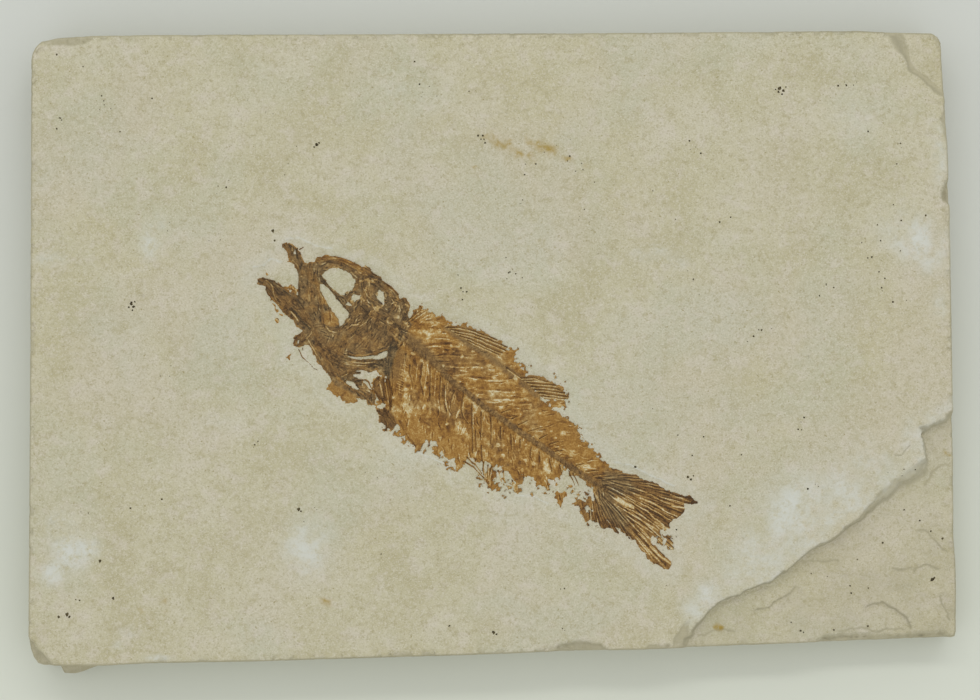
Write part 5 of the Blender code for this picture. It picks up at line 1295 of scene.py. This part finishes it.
def build_relief(name, fish, height, kept):
    """A closed piece over the kept squares of the fish's grid, from the bed up to the relief."""
    for _ in range(2):  # squares that only touch at a corner are joined
        corner = kept[:-1, :-1] & kept[1:, 1:] & ~kept[1:, :-1] & ~kept[:-1, 1:]
        kept[1:, :-1] |= corner
        corner = kept[1:, :-1] & kept[:-1, 1:] & ~kept[:-1, :-1] & ~kept[1:, 1:]
        kept[:-1, :-1] |= corner
    index = np.arange(fish.u.size).reshape(fish.u.shape)
    square = squares(index)
    top = square[kept]
    below = fish.u.size
    padded = np.pad(kept, 1)
    walls = []
    for side, (di, dj) in enumerate(((0, -1), (1, 0), (0, 1), (-1, 0))):
        a, b = side, (side + 1) % 4
        beside = padded[1 + di : padded.shape[0] - 1 + di, 1 + dj : padded.shape[1] - 1 + dj]
        edge = square[kept & ~beside]
        walls.append(np.stack([edge[:, a], edge[:, a] + below, edge[:, b] + below, edge[:, b]], -1))
    quads = np.concatenate([top, top[:, ::-1] + below] + walls)
    used, quads = np.unique(quads, return_inverse=True)
    upper = np.stack([fish.x, fish.y, height], -1).reshape(-1, 3)
    lower = upper.copy()
    lower[:, 2] = FACE - BED
    points = np.concatenate([upper, lower])[used]
    drawn = {"tone": fish.tone, "grey": fish.grey}
    looks = {key: np.tile(values.ravel(), 2)[used] for key, values in drawn.items()}
    return new_object(name, points, quads.reshape(-1, 4), looks)


def build_fish(fish, nodes):
    """One piece for each CAD node of the fish."""
    stone = Stone(fish.x, fish.y)
    rise = FILM_THICK * smooth(0.0, 0.3, fish.cover) + fish.relief * smooth(-0.02, 0.12, fish.cover)
    height = FACE + stone.height + rise - FRINGE * smooth(0.03, -0.12, fish.cover)
    owner = nearest_nodes(fish, nodes)
    solid = fish.cover > -FRINGE
    kept = solid[:-1, :-1] & solid[1:, :-1] & solid[1:, 1:] & solid[:-1, 1:]
    pieces = []
    for k, name in enumerate(nodes):
        piece = build_relief(name + "_relief", fish, height, kept & (owner[:-1, :-1] == k))
        thin_out(piece, RELIEF_TRIANGLES)
        map_relief(piece.data)
        pieces.append((name, piece))
    return pieces


def build_grains(stone_at):
    """Dark mineral grains that lie level with the face."""
    chance = np.random.default_rng(307)
    grains = list(GRAINS)
    for _ in range(GRAIN_CLUSTERS):
        middle = (chance.uniform(-72, 70), chance.uniform(-46, 48))
        for _ in range(chance.integers(1, 6)):
            away = [chance.normal(0, CLUSTER_SPREAD) for _ in range(2)]
            place = (middle[0] + away[0], middle[1] + away[1])
            u, v = to_fish(*place)
            if not (-28 < u < 60 and -16 < v < 11):
                grains.append((place, 0.06 + 0.11 * chance.random() ** 2))
    shape = bmesh.new()
    for (x, y), radius in grains:
        z = FACE + float(stone_at(x, y))
        made = bmesh.ops.create_icosphere(shape, subdivisions=2, radius=1.0)["verts"]
        for vert in made:
            lump = 1 + 0.35 * chance.uniform(-1, 1)
            across = radius * lump
            away = Vector((vert.co.x * across, vert.co.y * across, vert.co.z * GRAIN_FLATNESS))
            vert.co = (Vector((x, y, z - 0.01)) + away) * MM
    mesh = bpy.data.meshes.new("dark_grains")
    shape.to_mesh(mesh)
    shape.free()
    for face in mesh.polygons:
        face.use_smooth = True
    return add_object("dark_grains", mesh)


# Materials
def linear(colour):
    """A colour of 0 to 255, as seen, turned into the numbers that a shader takes."""
    shares = [c / 255 for c in colour]
    red, green, blue = (c / 12.92 if c < 0.04045 else ((c + 0.055) / 1.055) ** 2.4 for c in shares)
    return red, green, blue, 1.0


class Nodes:
    """Short names for making a material's nodes. Lengths are in millimetres."""

    def __init__(self, name):
        self.material = bpy.data.materials.new(name)
        self.material.use_nodes = True
        self.tree = self.material.node_tree
        self.shader = self.tree.nodes["Principled BSDF"]
        self.shader.inputs["Specular IOR Level"].default_value = 0.2
        place = self.tree.nodes.new("ShaderNodeTexCoord").outputs["Object"]
        scaled = self.new("ShaderNodeVectorMath", operation="SCALE")
        scaled.inputs["Scale"].default_value = 1 / MM
        self.tree.links.new(place, scaled.inputs[0])
        self.place = scaled.outputs[0]

    def new(self, kind, **settings):
        node = self.tree.nodes.new(kind)
        for key, value in settings.items():
            setattr(node, key, value)
        return node

    def put(self, value, socket):
        if isinstance(value, bpy.types.NodeSocket):
            self.tree.links.new(value, socket)
        else:
            socket.default_value = value

    def noise(self, cell, detail=3.0, rough=0.5, stretch=(1.0, 1.0, 1.0), warp=0.0):
        node = self.new("ShaderNodeTexNoise")
        spread = self.new("ShaderNodeMapping")
        spread.inputs["Scale"].default_value = stretch
        self.put(self.place, spread.inputs["Vector"])
        self.put(spread.outputs[0], node.inputs["Vector"])
        node.inputs["Scale"].default_value = 1 / cell
        node.inputs["Detail"].default_value = detail
        node.inputs["Roughness"].default_value = rough
        node.inputs["Distortion"].default_value = warp
        return node.outputs["Fac"]

    def steps(self, value, low, high, start=0.0, end=1.0):
        """A soft step: start where value is below low, end where it is above high."""
        node = self.new("ShaderNodeMapRange", interpolation_type="SMOOTHSTEP")
        for socket, number in zip(("Value", "From Min", "From Max", "To Min", "To Max"),
                                  (value, low, high, start, end)):
            self.put(number, node.inputs[socket])
        return node.outputs[0]

    def math(self, operation, first, second):
        node = self.new("ShaderNodeMath", operation=operation)
        self.put(first, node.inputs[0])
        self.put(second, node.inputs[1])
        return node.outputs[0]

    def mix(self, share, first, second):
        node = self.new("ShaderNodeMix", data_type="RGBA")
        self.put(share, node.inputs["Factor"])
        self.put(first, node.inputs[6])
        self.put(second, node.inputs[7])
        return node.outputs[2]

    def attribute(self, name):
        return self.new("ShaderNodeAttribute", attribute_name=name).outputs["Fac"]

    def ramp(self, value, stops):
        node = self.new("ShaderNodeValToRGB")
        band = node.color_ramp.elements
        while len(band) < len(stops):
            band.new(0.5)
        for element, (position, colour) in zip(band, stops):
            element.position = position
            element.color = linear(colour)
        self.put(value, node.inputs["Fac"])
        return node.outputs["Color"]

    def finish(self, colour, roughness, height, strength, distance):
        bump = self.new("ShaderNodeBump")
        bump.inputs["Strength"].default_value = strength
        bump.inputs["Distance"].default_value = distance * MM
        self.put(height, bump.inputs["Height"])
        self.put(bump.outputs[0], self.shader.inputs["Normal"])
        self.put(colour, self.shader.inputs["Base Color"])
        self.put(roughness, self.shader.inputs["Roughness"])
        return self.material


def limestone():
    """Mottled matt stone, with bruises, rust and the layers of the bed where it is broken, whose
    darker colours also paint shade.
    """
    n = Nodes("limestone")
    colour = n.ramp(n.noise(11.0, 6.0, 0.62), STONE_COLOURS)
    for cell, tint, strength in STONE_AREAS:
        area = n.steps(n.noise(cell, 4.0, warp=0.3), 0.46, 0.68, 0.0, strength)
        colour = n.mix(area, colour, linear(tint))
    for cell, start, end, tint, strength in STONE_SPOTS:
        spots = n.noise(cell, 4.0, 0.62, stretch=(1.0, 1.1, 1.0))
        colour = n.mix(n.steps(spots, start, end, 0.0, strength), colour, linear(tint))
    bands = n.noise(0.5, 4.0, 0.6, stretch=(0.02, 0.02, 1.0))
    # Broken stone and painted shade: the darker layered colours mixed in
    side = n.steps(n.attribute("fresh_and_shade"), 0.1, 0.8, 0.0, 0.75)
    colour = n.mix(side, colour, n.ramp(bands, LAYER_AND_SHADE_COLOURS))
    ragged = n.steps(n.noise(1.3, 5.0, 0.8), 0.28, 0.58)
    bruise = n.math("MULTIPLY", n.attribute("bruise"), ragged)
    colour = n.mix(n.math("MULTIPLY", bruise, 0.85), colour, linear(BRUISE_COLOUR))
    rust = n.math("MULTIPLY", n.attribute("rust"), n.steps(n.noise(0.5, 3.0, 0.7), 0.2, 0.5))
    colour = n.mix(rust, colour, linear(RUST_COLOUR))
    relief = n.math("ADD", n.noise(0.35, 4.0, 0.7), n.math("MULTIPLY", n.noise(2.2, 3.0), 0.8))
    roughness = n.steps(n.noise(3.0, 3.0), 0.3, 0.7, 0.82, 0.95)
    return n.finish(colour, roughness, relief, 0.6, 0.09)


def fossil(name, bump):
    """Film or bone, whose colour comes from the drawn tone and greyness, with fine grain on top."""
    n = Nodes(name)
    grain = n.noise(0.22, 3.0, 0.7)
    tone = n.attribute("tone")
    for speckle, strength in ((grain, 1.0), (n.noise(0.8, 3.0, 0.6), 0.5)):
        change = n.math("MULTIPLY", n.math("SUBTRACT", speckle, 0.5), strength)
        tone = n.math("ADD", tone, change)
    colour = n.mix(n.attribute("grey"), n.ramp(tone, FISH_COLOURS), n.ramp(tone, GREY_COLOURS))
    roughness = n.steps(tone, 0.2, 0.9, 0.8, 0.5)
    return n.finish(colour, roughness, grain, bump, 0.08)


def grain_material():
    n = Nodes("dark_mineral")
    colour = n.ramp(n.noise(0.3, 2.0), GRAIN_COLOURS)
    return n.finish(colour, 0.6, n.noise(0.1), 0.3, 0.03)


def floor_material():
    n = Nodes("pale_board")
    split = n.new("ShaderNodeSeparateXYZ")
    n.put(n.place, split.inputs[0])
    near = n.ramp(n.noise(60.0, 2.0), FLOOR_COLOURS)
    # Painted shade: the floor grows darker towards +y
    colour = n.mix(n.steps(split.outputs["Y"], -70.0, 60.0), near, linear(SHADED_FLOOR_COLOUR))
    return n.finish(colour, 0.9, n.noise(0.8, 2.0), 0.05, 0.05)


# Stage
def build_stage():
    mesh = bpy.data.meshes.new("floor")
    signs = ((-1, -1), (1, -1), (1, 1), (-1, 1))
    corners = [(FLOOR_REACH * a, FLOOR_REACH * b, 0) for a, b in signs]
    mesh.from_pydata(corners, [], [(0, 1, 2, 3)])
    floor = add_object("floor", mesh)
    mesh.materials.append(floor_material())

    world = bpy.data.worlds.new("soft_room")
    bpy.context.scene.world = world
    world.use_nodes = True
    background = world.node_tree.nodes["Background"]
    background.inputs["Color"].default_value = (1.0, 1.0, 1.0, 1.0)
    background.inputs["Strength"].default_value = ROOM_STRENGTH
    light = bpy.data.lights.new("window", "AREA")
    light.shape = "RECTANGLE"
    light.size, light.size_y = WINDOW_SIZE
    light.energy = WINDOW_POWER
    window = add_object("window", light)
    window.location = WINDOW_PLACE
    window.rotation_euler = (-window.location).to_track_quat("-Z", "Y").to_euler()


def build_camera():
    data = bpy.data.cameras.new("camera")
    data.lens = data.sensor_width * VIEW_HEIGHT_ABOVE / VIEW_WIDTH
    data.clip_start, data.clip_end = 0.01, 20.0
    camera = add_object("camera", data)
    camera.location = (VIEW_MIDDLE[0] * MM, VIEW_MIDDLE[1] * MM, (FACE + VIEW_HEIGHT_ABOVE) * MM)
    bpy.context.scene.camera = camera
    bpy.context.scene.view_settings.view_transform = "Standard"


def stone_height_at(x, y):
    return Stone(np.array([float(x)]), np.array([float(y)])).height[0]


def main():
    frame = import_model()
    slots = {part["node"]: part["material_slot"] for part in frame["record"]["subparts"]}
    nodes = {name: obj for name, obj in frame["nodes"].items() if name != "slab"}

    fish = draw_fish()
    plate = build_stone(fish)
    plate.data.materials.append(limestone())
    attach(plate, "root")
    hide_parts("slab")

    materials = {
        slot: fossil("fossil_" + slot, bump)
        for slot, bump in (("bone", 0.5), ("skin_film", 0.35), ("fin_rays", 0.4))
    }
    for name, piece in build_fish(fish, nodes):
        piece.data.materials.append(materials[slots[name]])
        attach(piece, "root")
        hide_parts(name)

    grains = build_grains(stone_height_at)
    grains.data.materials.append(grain_material())
    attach(grains, "root")

    build_stage()
    build_camera()


main()
